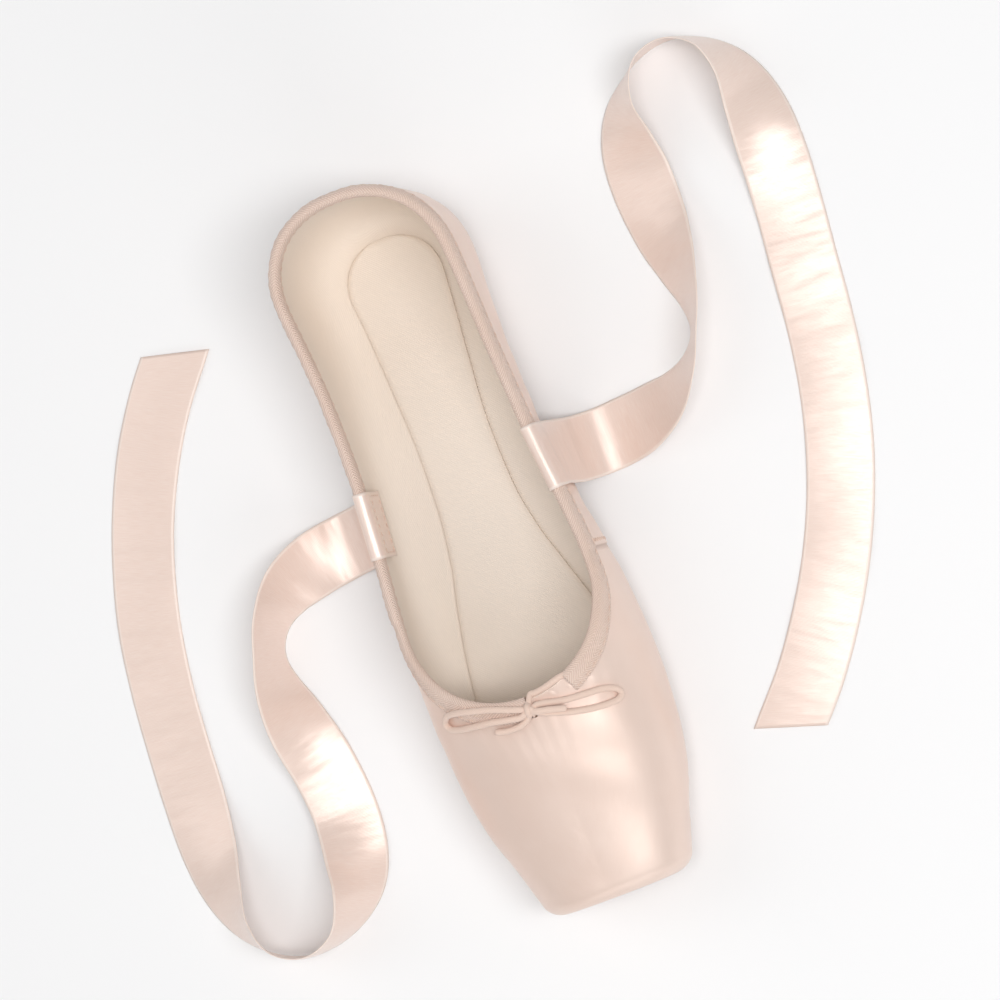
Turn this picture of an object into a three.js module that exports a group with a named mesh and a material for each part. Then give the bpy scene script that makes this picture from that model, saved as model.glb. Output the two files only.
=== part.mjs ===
// Pointe shoe: a hollow satin upper on a straight last, with its outsole, insole, collar casing,
// drawstring bow and two ankle ribbons. Millimetres, +Z up, toe towards -Y, standing on z = 0.
import * as THREE from 'three';

// Last: lengths and widths
const LENGTH = 240;
const BALL_WIDTH = 76.4;
const WAIST_WIDTH = 60;
const HEEL_WIDTH = 61;
const HEEL_DEPTH = 29;
const PLATFORM_WIDTH = 48;
const PLATFORM_HEIGHT = 30;
const PLATFORM_ROUND = 4.5;

// Last: heights above the floor
const VAMP_LENGTH = 68;
const THROAT_HEIGHT = 50;
const COLLAR_HEIGHT = 38;
const HEEL_HEIGHT = 57;
const INSTEP_HEIGHT = 105;
const WIDEST_HEIGHT = 16;
const TOE_SPRING = 4.5;
const ARCH_RISE = 6;

// Walls, soles and clearances
const BOX_WALL = 2.8;
const BOX_DEPTH = 42;
const QUARTER_WALL = 1.4;
const SEAM_AT = 106;
const SEAM_LAP = 0.5;
const SEAM_RUN = 0.4;
const OUTSOLE_THICKNESS = 1.8;
const OUTSOLE_WIDTH = 53;
const OUTSOLE_WAIST = 26.5;
const OUTSOLE_HEEL = 34;
const OUTSOLE_FRONT = 15;
const OUTSOLE_BACK = 13;
const OUTSOLE_FRONT_ROUND = 30;
const LASTING_MARGIN = 8;
const INSOLE_THICKNESS = 2;
const INSOLE_FRONT = 9;
const GAP = 0.3;

// Collar casing and drawstring
const CASING_OUTSIDE = 6;
const CASING_INSIDE = 5;
const CASING_WALL = 0.8;
const CASING_CLEARANCE = 0.4;
const CASING_START = 14;
const CASING_END = 3;
const CORD_DIAMETER = 2.1;
const KNOT_SETBACK = 2.4;
const KNOT_LENGTH = 4.8;
const KNOT_DEPTH = 5.2;
const KNOT_HEIGHT = 4;

// Ribbons
const RIBBON_WIDTH = 22;
const RIBBON_THICKNESS = 0.5;
const RIBBON_AT = 138;
const RIBBON_SEWN = 19;

const SATIN = { color: 0xecd2c4, roughness: 0.42, metalness: 0 };
const TWILL = { color: 0xf0d0be, roughness: 0.75, metalness: 0 };
const RIBBON_SATIN = { color: 0xead0c2, roughness: 0.35, metalness: 0 };
const LEATHER = { color: 0xd7bea5, roughness: 0.8, metalness: 0 };
const LINING = { color: 0xe6d6c4, roughness: 0.9, metalness: 0 };
const CORD = { color: 0xe2bfac, roughness: 0.7, metalness: 0 };

const HEEL_AXIS = LENGTH - SEAM_LAP - HEEL_DEPTH;
const UNDERSIDE = OUTSOLE_THICKNESS + GAP;
const PLATFORM_TOP = UNDERSIDE + TOE_SPRING + PLATFORM_HEIGHT;
const BEHIND_THROAT = LENGTH - VAMP_LENGTH;
const LOWER_POWER = 2.4;
const PLAN_POWER = 2.2;

// Monotone cubic through the rows of a table: equal neighbours stay exactly level.
function smooth(rows, column) {
  const at = rows.map((row) => row.at);
  const value = rows.map((row) => row[column]);
  const step = at.slice(1).map((x, i) => x - at[i]);
  const slope = step.map((h, i) => (value[i + 1] - value[i]) / h);
  const tangent = value.map((_, i) => {
    if (i === 0) return slope[0];
    if (i === value.length - 1) return slope[i - 1];
    if (slope[i - 1] * slope[i] <= 0) return 0;
    const before = 2 * step[i] + step[i - 1];
    const after = step[i] + 2 * step[i - 1];
    return (before + after) / (before / slope[i - 1] + after / slope[i]);
  });
  return (x) => {
    if (x <= at[0]) return value[0];
    if (x >= at[at.length - 1]) return value[value.length - 1];
    let i = 0;
    while (x > at[i + 1]) i += 1;
    const t = (x - at[i]) / step[i];
    const rise = value[i + 1] - value[i];
    const bend = t * (1 - t) * (1 - t) * (tangent[i] * step[i] - rise);
    const back = t * t * (1 - t) * (rise - tangent[i + 1] * step[i]);
    return value[i] + t * rise + bend + back;
  };
}

// Half width of the last, by distance from the toe tip.
const WIDTHS = [
  { at: 0, half: 0.5 * PLATFORM_WIDTH },
  { at: 0.08 * LENGTH, half: 0.393 * BALL_WIDTH },
  { at: 0.13 * LENGTH, half: 0.445 * BALL_WIDTH },
  { at: 0.20 * LENGTH, half: 0.485 * BALL_WIDTH },
  { at: 0.29 * LENGTH, half: 0.5 * BALL_WIDTH },
  { at: 0.375 * LENGTH, half: 0.491 * BALL_WIDTH },
  { at: 0.46 * LENGTH, half: 0.458 * BALL_WIDTH },
  { at: 0.54 * LENGTH, half: 0.541 * WAIST_WIDTH },
  { at: 0.65 * LENGTH, half: 0.502 * WAIST_WIDTH },
  { at: 0.75 * LENGTH, half: 0.492 * WAIST_WIDTH },
  { at: HEEL_AXIS, half: 0.5 * HEEL_WIDTH },
];

// Crown of the last. The instep behind the throat shapes the quarters and is itself open.
const onVampLine = (share) => PLATFORM_TOP + share * (THROAT_HEIGHT - PLATFORM_TOP);
const onInstep = (share) => THROAT_HEIGHT + share * (INSTEP_HEIGHT - THROAT_HEIGHT);
const CROWNS = [
  { at: 0, height: onVampLine(0) },
  { at: 0.28 * VAMP_LENGTH, height: onVampLine(0.22) },
  { at: 0.46 * VAMP_LENGTH, height: onVampLine(0.40) },
  { at: 0.70 * VAMP_LENGTH, height: onVampLine(0.66) },
  { at: VAMP_LENGTH, height: THROAT_HEIGHT },
  { at: VAMP_LENGTH + 0.08 * BEHIND_THROAT, height: onInstep(0.13) },
  { at: VAMP_LENGTH + 0.19 * BEHIND_THROAT, height: onInstep(0.38) },
  { at: VAMP_LENGTH + 0.30 * BEHIND_THROAT, height: onInstep(0.62) },
  { at: VAMP_LENGTH + 0.48 * BEHIND_THROAT, height: onInstep(0.85) },
  { at: VAMP_LENGTH + 0.71 * BEHIND_THROAT, height: onInstep(0.98) },
  { at: LENGTH, height: INSTEP_HEIGHT },
];

// Level at which a section is widest.
const WIDEST = [
  { at: 0, height: 1.25 * WIDEST_HEIGHT },
  { at: 0.20 * LENGTH, height: 1.03 * WIDEST_HEIGHT },
  { at: 0.29 * LENGTH, height: WIDEST_HEIGHT },
  { at: 0.46 * LENGTH, height: 1.13 * WIDEST_HEIGHT },
  { at: 0.62 * LENGTH, height: 1.38 * WIDEST_HEIGHT },
  { at: 0.875 * LENGTH, height: 1.5 * WIDEST_HEIGHT },
  { at: LENGTH, height: 1.6 * WIDEST_HEIGHT },
];

// Squareness of a section's upper part.
const UPPER_POWERS = [
  { at: 0, power: 2.3 },
  { at: 0.28 * LENGTH, power: 2.1 },
  { at: 0.50 * LENGTH, power: 2 },
  { at: LENGTH, power: 2 },
];

// Rise of the underside: toe spring, level forefoot, arch and level heel seat.
const RISES = [
  { at: 0, rise: TOE_SPRING },
  { at: 0.04 * LENGTH, rise: 0.6 * TOE_SPRING },
  { at: 0.08 * LENGTH, rise: 0.2 * TOE_SPRING },
  { at: 0.12 * LENGTH, rise: 0 },
  { at: 0.36 * LENGTH, rise: 0 },
  { at: 0.44 * LENGTH, rise: 0.5 * ARCH_RISE },
  { at: 0.55 * LENGTH, rise: ARCH_RISE },
  { at: 0.66 * LENGTH, rise: 0.84 * ARCH_RISE },
  { at: 0.75 * LENGTH, rise: 0.4 * ARCH_RISE },
  { at: 0.84 * LENGTH, rise: 0 },
  { at: LENGTH, rise: 0 },
];

// Half width of the outsole before its ends are rounded.
const SOLE_WIDTHS = [
  { at: 0, half: 0.25 * OUTSOLE_WIDTH },
  { at: 0.08 * LENGTH, half: 0.39 * OUTSOLE_WIDTH },
  { at: 0.15 * LENGTH, half: 0.465 * OUTSOLE_WIDTH },
  { at: 0.22 * LENGTH, half: 0.497 * OUTSOLE_WIDTH },
  { at: 0.29 * LENGTH, half: 0.5 * OUTSOLE_WIDTH },
  { at: 0.36 * LENGTH, half: 0.466 * OUTSOLE_WIDTH },
  { at: 0.43 * LENGTH, half: 0.39 * OUTSOLE_WIDTH },
  { at: 0.50 * LENGTH, half: 0.61 * OUTSOLE_WAIST },
  { at: 0.57 * LENGTH, half: 0.52 * OUTSOLE_WAIST },
  { at: 0.65 * LENGTH, half: 0.5 * OUTSOLE_WAIST },
  { at: 0.75 * LENGTH, half: 0.55 * OUTSOLE_WAIST },
  { at: HEEL_AXIS, half: 0.5 * OUTSOLE_HEEL },
];

// Height of the collar edge, from the throat round to the heel back.
const fromThroat = (share) => COLLAR_HEIGHT + share * (THROAT_HEIGHT - COLLAR_HEIGHT);
const fromHeel = (share) => COLLAR_HEIGHT + share * (HEEL_HEIGHT - COLLAR_HEIGHT);
const COLLAR = [
  { at: VAMP_LENGTH, height: THROAT_HEIGHT },
  { at: VAMP_LENGTH + 0.022 * BEHIND_THROAT, height: fromThroat(0.89) },
  { at: VAMP_LENGTH + 0.08 * BEHIND_THROAT, height: fromThroat(0.60) },
  { at: VAMP_LENGTH + 0.19 * BEHIND_THROAT, height: fromThroat(0.13) },
  { at: VAMP_LENGTH + 0.27 * BEHIND_THROAT, height: fromThroat(0.02) },
  { at: VAMP_LENGTH + 0.36 * BEHIND_THROAT, height: COLLAR_HEIGHT },
  { at: VAMP_LENGTH + 0.51 * BEHIND_THROAT, height: fromHeel(0.04) },
  { at: VAMP_LENGTH + 0.65 * BEHIND_THROAT, height: fromHeel(0.17) },
  { at: VAMP_LENGTH + 0.77 * BEHIND_THROAT, height: fromHeel(0.42) },
  { at: HEEL_AXIS, height: fromHeel(0.6) },
  { at: LENGTH, height: HEEL_HEIGHT },
];

// Wall: a stiff pasted box at the toe, thin satin and lining behind it.
const WALLS = [
  { at: 0, wall: BOX_WALL },
  { at: BOX_DEPTH, wall: BOX_WALL },
  { at: VAMP_LENGTH, wall: QUARTER_WALL },
  { at: LENGTH, wall: QUARTER_WALL },
];

const halfAt = smooth(WIDTHS, 'half');
const crownAt = smooth(CROWNS, 'height');
const widestAt = smooth(WIDEST, 'height');
const powerAt = smooth(UPPER_POWERS, 'power');
const riseAt = smooth(RISES, 'rise');
const soleHalfAt = smooth(SOLE_WIDTHS, 'half');
const collarAt = smooth(COLLAR, 'height');
const wallAt = smooth(WALLS, 'wall');
const lapAt = (distance) => (distance > SEAM_AT ? SEAM_LAP : 0);
const toY = (distance) => distance - LENGTH / 2;

// How far the rounded rim of the platform draws a section in.
function platformInset(distance) {
  const left = Math.max(0, PLATFORM_ROUND - distance);
  return PLATFORM_ROUND - Math.sqrt(PLATFORM_ROUND ** 2 - left ** 2);
}

// One section of the last. turn is 0 on the straight part and grows to a right angle at the heel back.
function sectionAt(distance, turn = 0) {
  const inset = platformInset(distance);
  let half = halfAt(distance) - inset;
  if (turn > 0) {
    const across = (Math.cos(turn) / halfAt(HEEL_AXIS)) ** PLAN_POWER;
    const along = (Math.sin(turn) / HEEL_DEPTH) ** PLAN_POWER;
    half = (across + along) ** (-1 / PLAN_POWER);
  }
  return {
    half,
    crown: crownAt(distance) - inset,
    widest: widestAt(distance),
    base: UNDERSIDE + riseAt(distance) + inset,
    flat: Math.min(soleHalfAt(distance) + 1 - 0.5 * inset, 0.9 * half),
    power: powerAt(distance),
  };
}

// Share of full width at a share of a rounded end's length.
const roundedEnd = (share) => (1 - (1 - Math.min(1, Math.max(0, share))) ** PLAN_POWER) ** (1 / PLAN_POWER);

// Half width of a plate that follows the outsole's outline, with its ends rounded.
function outlineAt(distance, front, back, frontRound, margin) {
  const backRound = back - HEEL_AXIS;
  const ends = roundedEnd((distance - front) / frontRound) * roundedEnd((back - distance) / backRound);
  return (soleHalfAt(distance) - margin) * ends;
}

const OPENING_FRONT = OUTSOLE_FRONT + LASTING_MARGIN;
const OPENING_BACK = LENGTH - OUTSOLE_BACK - LASTING_MARGIN;
const OPENING_FRONT_ROUND = OUTSOLE_FRONT_ROUND - LASTING_MARGIN;

// Half width of the opening underneath, which the soles close.
function openingAt(distance, turn) {
  if (turn === 0) {
    return outlineAt(distance, OPENING_FRONT, OPENING_BACK, OPENING_FRONT_ROUND, LASTING_MARGIN);
  }
  const across = (Math.cos(turn) / (soleHalfAt(HEEL_AXIS) - LASTING_MARGIN)) ** PLAN_POWER;
  const along = (Math.sin(turn) / (OPENING_BACK - HEEL_AXIS)) ** PLAN_POWER;
  return (across + along) ** (-1 / PLAN_POWER);
}

// Half of one section as points [across, up], from the opening underneath to the collar or the crown.
// The level margin has even points. Above it the points keep their places, and crowd only at the collar.
const FINE_STEPS = 48;
const MARGIN_STEPS = 3;
const SIDE_STEPS = 14;
const PROFILE_STEPS = MARGIN_STEPS + SIDE_STEPS;
const CROWDING = 4;
function halfProfile(section, opening, collar) {
  const { half, flat, base, widest, crown, power } = section;
  const line = [];
  for (let i = 0; i < FINE_STEPS; i += 1) {
    const angle = (Math.PI / 2) * (i / FINE_STEPS);
    const across = flat + (half - flat) * Math.sin(angle) ** (2 / LOWER_POWER);
    line.push([across, widest - (widest - base) * Math.cos(angle) ** (2 / LOWER_POWER)]);
  }
  for (let i = 0; i < 2 * FINE_STEPS; i += 1) {
    const angle = (Math.PI / 4) * (i / FINE_STEPS);
    const across = half * Math.cos(angle) ** (2 / power);
    line.push([across, widest + (crown - widest) * Math.sin(angle) ** (2 / power)]);
  }
  line.push([0, crown]);
  const reach = [0];
  for (let i = 1; i < line.length; i += 1) {
    reach.push(reach[i - 1] + Math.hypot(line[i][0] - line[i - 1][0], line[i][1] - line[i - 1][1]));
  }
  const whole = reach[reach.length - 1];
  let kept = whole;
  if (collar < crown) {
    const top = line.findIndex((point) => point[1] > collar);
    const share = (collar - line[top - 1][1]) / (line[top][1] - line[top - 1][1]);
    kept = reach[top - 1] + share * (reach[top] - reach[top - 1]);
  }
  const crowd = Math.min(CROWDING, Math.max(1, (0.8 * whole) / Math.max(whole - kept, 1e-6)));
  const points = [];
  for (let i = 0; i < MARGIN_STEPS; i += 1) {
    points.push([opening + (flat - opening) * (i / MARGIN_STEPS), base]);
  }
  let i = 0;
  for (let step = 0; step <= SIDE_STEPS; step += 1) {
    const share = step / SIDE_STEPS;
    const wanted = whole * share - (whole - kept) * share ** crowd;
    while (i < line.length - 2 && reach[i + 1] < wanted) i += 1;
    const part = Math.min(1, (wanted - reach[i]) / (reach[i + 1] - reach[i]));
    points.push(line[i].map((value, axis) => value + part * (line[i + 1][axis] - value)));
  }
  return points;
}

// Signed level of a point against the last: zero on its surface, negative inside.
function level(point) {
  const axisY = toY(HEEL_AXIS);
  const side = Math.abs(point.x);
  let distance = point.y + LENGTH / 2;
  let reach = side;
  let turn = 0;
  if (point.y > axisY) {
    turn = Math.atan2(point.y - axisY, side);
    reach = Math.hypot(side, point.y - axisY);
    distance = HEEL_AXIS + HEEL_DEPTH * Math.sin(turn);
  }
  const section = sectionAt(distance, turn);
  if (point.z >= section.widest) {
    const up = (point.z - section.widest) / (section.crown - section.widest);
    return ((reach / section.half) ** section.power + up ** section.power) ** (1 / section.power) - 1;
  }
  const out = Math.max(0, reach - section.flat) / (section.half - section.flat);
  const down = (section.widest - point.z) / (section.widest - section.base);
  return (out ** LOWER_POWER + down ** LOWER_POWER) ** (1 / LOWER_POWER) - 1;
}

const PROBE = 0.02;
function slopeOf(point) {
  const slope = new THREE.Vector3();
  for (const axis of ['x', 'y', 'z']) {
    const ahead = point.clone();
    const behind = point.clone();
    ahead[axis] += PROBE;
    behind[axis] -= PROBE;
    slope[axis] = (level(ahead) - level(behind)) / (2 * PROBE);
  }
  return slope;
}

const outwardAt = (point) => slopeOf(point).normalize();

// Nearest point of the last's surface.
function onLast(point) {
  const place = point.clone();
  for (let i = 0; i < 8; i += 1) {
    const slope = slopeOf(place);
    place.addScaledVector(slope, -level(place) / slope.lengthSq());
  }
  return place;
}

// A closed body from quads and triangles, without the triangles that shrink to a line.
const SAME_POINT = 1e-3;
class Body {
  constructor() {
    this.corners = [];
  }

  triangle(a, b, c) {
    const small = a.distanceTo(b) < SAME_POINT || b.distanceTo(c) < SAME_POINT || c.distanceTo(a) < SAME_POINT;
    if (!small) this.corners.push(a, b, c);
  }

  quad(a, b, c, d) {
    this.triangle(a, b, c);
    this.triangle(a, c, d);
  }

  mesh(name, look) {
    const geometry = new THREE.BufferGeometry().setFromPoints(this.corners);
    geometry.computeVertexNormals();
    const mesh = new THREE.Mesh(geometry, new THREE.MeshStandardMaterial(look));
    mesh.name = name;
    return mesh;
  }
}

// Tube or bar through rings of equal count, closed at both ends.
function loft(rings, name, look) {
  const body = new Body();
  const count = rings[0].length;
  for (let i = 0; i + 1 < rings.length; i += 1) {
    for (let j = 0; j < count; j += 1) {
      const next = (j + 1) % count;
      body.quad(rings[i][j], rings[i][next], rings[i + 1][next], rings[i + 1][j]);
    }
  }
  const first = rings[0];
  const last = rings[rings.length - 1];
  for (let j = 0; j < count / 2 - 1; j += 1) {
    const back = count - 1 - j;
    body.quad(first[j + 1], first[j], first[back], first[back - 1]);
    body.quad(last[j], last[j + 1], last[back - 1], last[back]);
  }
  return body.mesh(name, look);
}

// Stations of the upper from the platform to the heel back.
const PLATFORM_STEPS = 4;
const HEEL_STEPS = 9;
function stations() {
  const list = [];
  const add = (distance) => list.push({ distance, turn: 0 });
  for (let i = 0; i <= PLATFORM_STEPS; i += 1) {
    add(PLATFORM_ROUND * (1 - Math.cos((Math.PI / 2) * (i / PLATFORM_STEPS))));
  }
  add(PLATFORM_ROUND + 0.35 * (OPENING_FRONT - PLATFORM_ROUND));
  add(PLATFORM_ROUND + 0.7 * (OPENING_FRONT - PLATFORM_ROUND));
  for (const share of [0, 0.02, 0.07, 0.16, 0.3, 0.47, 0.65, 0.83]) {
    add(OPENING_FRONT + share * (VAMP_LENGTH - OPENING_FRONT));
  }
  for (const share of [0, 0.02, 0.07, 0.16, 0.28, 0.43, 0.6, 0.8]) {
    add(VAMP_LENGTH + share * (SEAM_AT - SEAM_RUN / 2 - VAMP_LENGTH));
  }
  add(SEAM_AT - SEAM_RUN / 2);
  const quarter = HEEL_AXIS - SEAM_AT - SEAM_RUN / 2;
  const quarterSteps = 12;
  for (let i = 0; i < quarterSteps; i += 1) {
    add(SEAM_AT + SEAM_RUN / 2 + quarter * (i / quarterSteps));
  }
  for (let i = 0; i <= HEEL_STEPS; i += 1) {
    const turn = (Math.PI / 2) * (i / HEEL_STEPS);
    list.push({ distance: HEEL_AXIS + HEEL_DEPTH * Math.sin(turn), turn });
  }
  return list;
}

// Points of one station, in space: the heel's stations fan round its axis.
function stationLine({ distance, turn }) {
  const section = sectionAt(distance, turn);
  const collar = distance > VAMP_LENGTH ? collarAt(distance) : Infinity;
  const opening = openingAt(distance, turn);
  const across = Math.cos(turn);
  const along = Math.sin(turn);
  const foot = toY(Math.min(distance, HEEL_AXIS));
  return halfProfile(section, opening, collar).map(
    ([out, up]) => new THREE.Vector3(turn === Math.PI / 2 ? 0 : out * across, foot + out * along, up),
  );
}

// Upper: the outer surface, the same surface moved in by the wall, and the rims between them.
// The quarters' lap fades out where the wall turns underneath.
const LAP_FADE = 0.6;
const STATIONS = stations();
function buildUpper() {
  const base = STATIONS.map(stationLine);
  base.unshift(base[0].map((point) => new THREE.Vector3(0, point.y, point.z)));
  const places = [STATIONS[0], ...STATIONS];
  const normals = base.map((line) => line.map(() => new THREE.Vector3()));
  const addFace = (cells) => {
    const [a, b, c] = cells.map(([i, j]) => base[i][j]);
    const face = b.clone().sub(a).cross(c.clone().sub(a));
    for (const [i, j] of cells) normals[i][j].add(face);
  };
  for (let i = 0; i + 1 < base.length; i += 1) {
    for (let j = 0; j < PROFILE_STEPS; j += 1) {
      addFace([[i, j], [i + 1, j], [i + 1, j + 1]]);
      addFace([[i, j], [i + 1, j + 1], [i, j + 1]]);
    }
  }
  const outer = base.map((line, i) => line.map((point, j) => {
    const normal = normals[i][j];
    if (Math.abs(point.x) < SAME_POINT) normal.x = 0;
    normal.normalize();
    const onSide = Math.min(1, Math.max(0, (1 + normal.z) / LAP_FADE));
    return point.clone().addScaledVector(normal, onSide * lapAt(places[i].distance));
  }));
  const inner = base.map((line, i) => line.map(
    (point, j) => point.clone().addScaledVector(normals[i][j], -wallAt(places[i].distance)),
  ));
  inner[0] = inner[1].map((point) => new THREE.Vector3(0, point.y, point.z));

  const body = new Body();
  const mirrored = (point) => new THREE.Vector3(-point.x, point.y, point.z);
  const both = (a, b, c, d) => {
    body.quad(a, b, c, d);
    body.quad(mirrored(d), mirrored(c), mirrored(b), mirrored(a));
  };
  for (let i = 0; i + 1 < base.length; i += 1) {
    for (let j = 0; j < PROFILE_STEPS; j += 1) {
      both(outer[i][j], outer[i + 1][j], outer[i + 1][j + 1], outer[i][j + 1]);
      both(inner[i][j + 1], inner[i + 1][j + 1], inner[i + 1][j], inner[i][j]);
    }
    if (i > 0 && STATIONS[i].distance > OPENING_FRONT) {
      both(inner[i][0], inner[i + 1][0], outer[i + 1][0], outer[i][0]);
    }
    if (i > 0 && STATIONS[i].distance > VAMP_LENGTH) {
      const top = PROFILE_STEPS;
      both(outer[i][top], outer[i + 1][top], inner[i + 1][top], inner[i][top]);
    }
  }
  const collar = base.slice(1).map((line) => line[PROFILE_STEPS]);
  return { mesh: body.mesh('upper', SATIN), collar: collar.filter((_, i) => STATIONS[i].distance >= VAMP_LENGTH) };
}

// A thin plate between two heights, with rounded ends. Three points across are enough for a level plate.
const PLATE_STEPS = 14;
function buildPlate(name, look, { front, back, frontRound, margin, under, over }) {
  const ends = [0, 0.01, 0.05, 0.12, 0.22, 0.36, 0.54, 0.76];
  const backRound = back - HEEL_AXIS;
  const stops = ends.map((share) => front + share * frontRound);
  for (let i = 0; i <= PLATE_STEPS; i += 1) {
    stops.push(front + frontRound + (back - backRound - front - frontRound) * (i / PLATE_STEPS));
  }
  stops.push(...ends.map((share) => back - share * backRound).reverse());
  const rows = stops.map((distance) => {
    const half = distance === front || distance === back
      ? 0 : outlineAt(distance, front, back, frontRound, margin);
    const at = (share, height) => new THREE.Vector3(share * half, toY(distance), height);
    return {
      low: [-1, 0, 1].map((share) => at(share, under(distance))),
      high: [-1, 0, 1].map((share) => at(share, over(distance))),
    };
  });
  const body = new Body();
  for (let i = 0; i + 1 < rows.length; i += 1) {
    const [here, next] = [rows[i], rows[i + 1]];
    for (let j = 0; j < 2; j += 1) {
      body.quad(here.high[j], here.high[j + 1], next.high[j + 1], next.high[j]);
      body.quad(here.low[j + 1], here.low[j], next.low[j], next.low[j + 1]);
    }
    body.quad(here.low[0], here.high[0], next.high[0], next.low[0]);
    body.quad(here.high[2], here.low[2], next.low[2], next.high[2]);
  }
  return body.mesh(name, look);
}

const outsole = buildPlate('outsole', LEATHER, {
  front: OUTSOLE_FRONT,
  back: LENGTH - OUTSOLE_BACK,
  frontRound: OUTSOLE_FRONT_ROUND,
  margin: 0,
  under: riseAt,
  over: (distance) => riseAt(distance) + OUTSOLE_THICKNESS,
});

const insoleFloor = (distance) => UNDERSIDE + riseAt(distance) + wallAt(distance) + GAP;
const insole = buildPlate('insole', LINING, {
  front: INSOLE_FRONT,
  back: LENGTH - OUTSOLE_BACK - GAP,
  frontRound: OUTSOLE_FRONT_ROUND,
  margin: 2 * GAP,
  under: insoleFloor,
  over: (distance) => insoleFloor(distance) + INSOLE_THICKNESS,
});

// Collar edge as a ring that starts at the throat, goes round by +X and the heel, and comes back by -X.
const { mesh: upper, collar: HALF_COLLAR } = buildUpper();
const COLLAR_RING = [
  ...HALF_COLLAR,
  ...HALF_COLLAR.slice(0, -1).reverse().map((point) => new THREE.Vector3(-point.x, point.y, point.z)),
];
const COLLAR_REACH = [0];
for (let i = 1; i < COLLAR_RING.length; i += 1) {
  COLLAR_REACH.push(COLLAR_REACH[i - 1] + COLLAR_RING[i].distanceTo(COLLAR_RING[i - 1]));
}
const COLLAR_LENGTH = COLLAR_REACH[COLLAR_REACH.length - 1];

// Frame of the collar edge at a reach along it: out of the wall, and down the wall from the edge.
function collarFrame(reach) {
  let i = 0;
  while (i < COLLAR_RING.length - 2 && COLLAR_REACH[i + 1] <= reach) i += 1;
  const share = (reach - COLLAR_REACH[i]) / (COLLAR_REACH[i + 1] - COLLAR_REACH[i]);
  const edge = COLLAR_RING[i].clone().lerp(COLLAR_RING[i + 1], share);
  const before = share < 0.5 && i > 0 ? i - 1 : i;
  const along = COLLAR_RING[Math.min(i + 1, COLLAR_RING.length - 1)].clone().sub(COLLAR_RING[before]).normalize();
  const out = outwardAt(onLast(edge));
  const down = out.clone().cross(along).normalize();
  if (down.z > 0) down.negate();
  return { edge, out, down };
}

// A point set out from the wall and down it, following the last's curve.
function byCollar({ edge, out, down }, outset, drop) {
  const place = edge.clone().addScaledVector(down, drop);
  if (drop <= 0) return place.addScaledVector(out, outset);
  const seat = onLast(place);
  return seat.addScaledVector(outwardAt(seat), outset);
}

// Casing: tape folded over the collar edge, as an open channel with the drawstring's gap at the throat.
function buildCasing() {
  const near = CASING_CLEARANCE;
  const far = CASING_CLEARANCE + CASING_WALL;
  const ring = (reach) => {
    const frame = collarFrame(reach);
    const distance = frame.edge.y + LENGTH / 2;
    const lap = lapAt(distance);
    const wall = wallAt(distance);
    const fold = 0.4 * CASING_WALL;
    const skin = [
      [lap + far, CASING_OUTSIDE], [lap + far, CASING_OUTSIDE / 2], [lap + far, 0], [lap + far - fold, -far],
      [fold - wall - far, -far], [-wall - far, 0], [-wall - far, CASING_INSIDE / 2], [-wall - far, CASING_INSIDE],
    ];
    const channel = [
      [lap + near, CASING_OUTSIDE], [lap + near, CASING_OUTSIDE / 2], [lap + near, 0], [lap + near, -near],
      [-wall - near, -near], [-wall - near, 0], [-wall - near, CASING_INSIDE / 2], [-wall - near, CASING_INSIDE],
    ];
    return [...channel, ...skin.reverse()].map(([outset, drop]) => byCollar(frame, outset, drop));
  };
  const last = COLLAR_LENGTH - CASING_END;
  const inside = COLLAR_REACH.filter((reach) => reach > CASING_START + 1 && reach < last - 1);
  return loft([CASING_START, ...inside, last].map(ring), 'collar_casing', TWILL);
}

// Cord: a round tube through a hand-laid route.
const CORD_SIDES = 8;
function buildCord(name, places) {
  const section = new THREE.Shape(Array.from({ length: CORD_SIDES }, (_, i) => {
    const angle = (2 * Math.PI * i) / CORD_SIDES;
    return new THREE.Vector2(Math.cos(angle), Math.sin(angle)).multiplyScalar(CORD_DIAMETER / 2);
  }));
  const extrudePath = new THREE.CatmullRomCurve3(places);
  const steps = Math.max(3, Math.round(extrudePath.getLength() / CORD_DIAMETER));
  const geometry = new THREE.ExtrudeGeometry(section, { steps, extrudePath, bevelEnabled: false });
  const mesh = new THREE.Mesh(geometry, new THREE.MeshStandardMaterial(CORD));
  mesh.name = name;
  return mesh;
}

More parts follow.
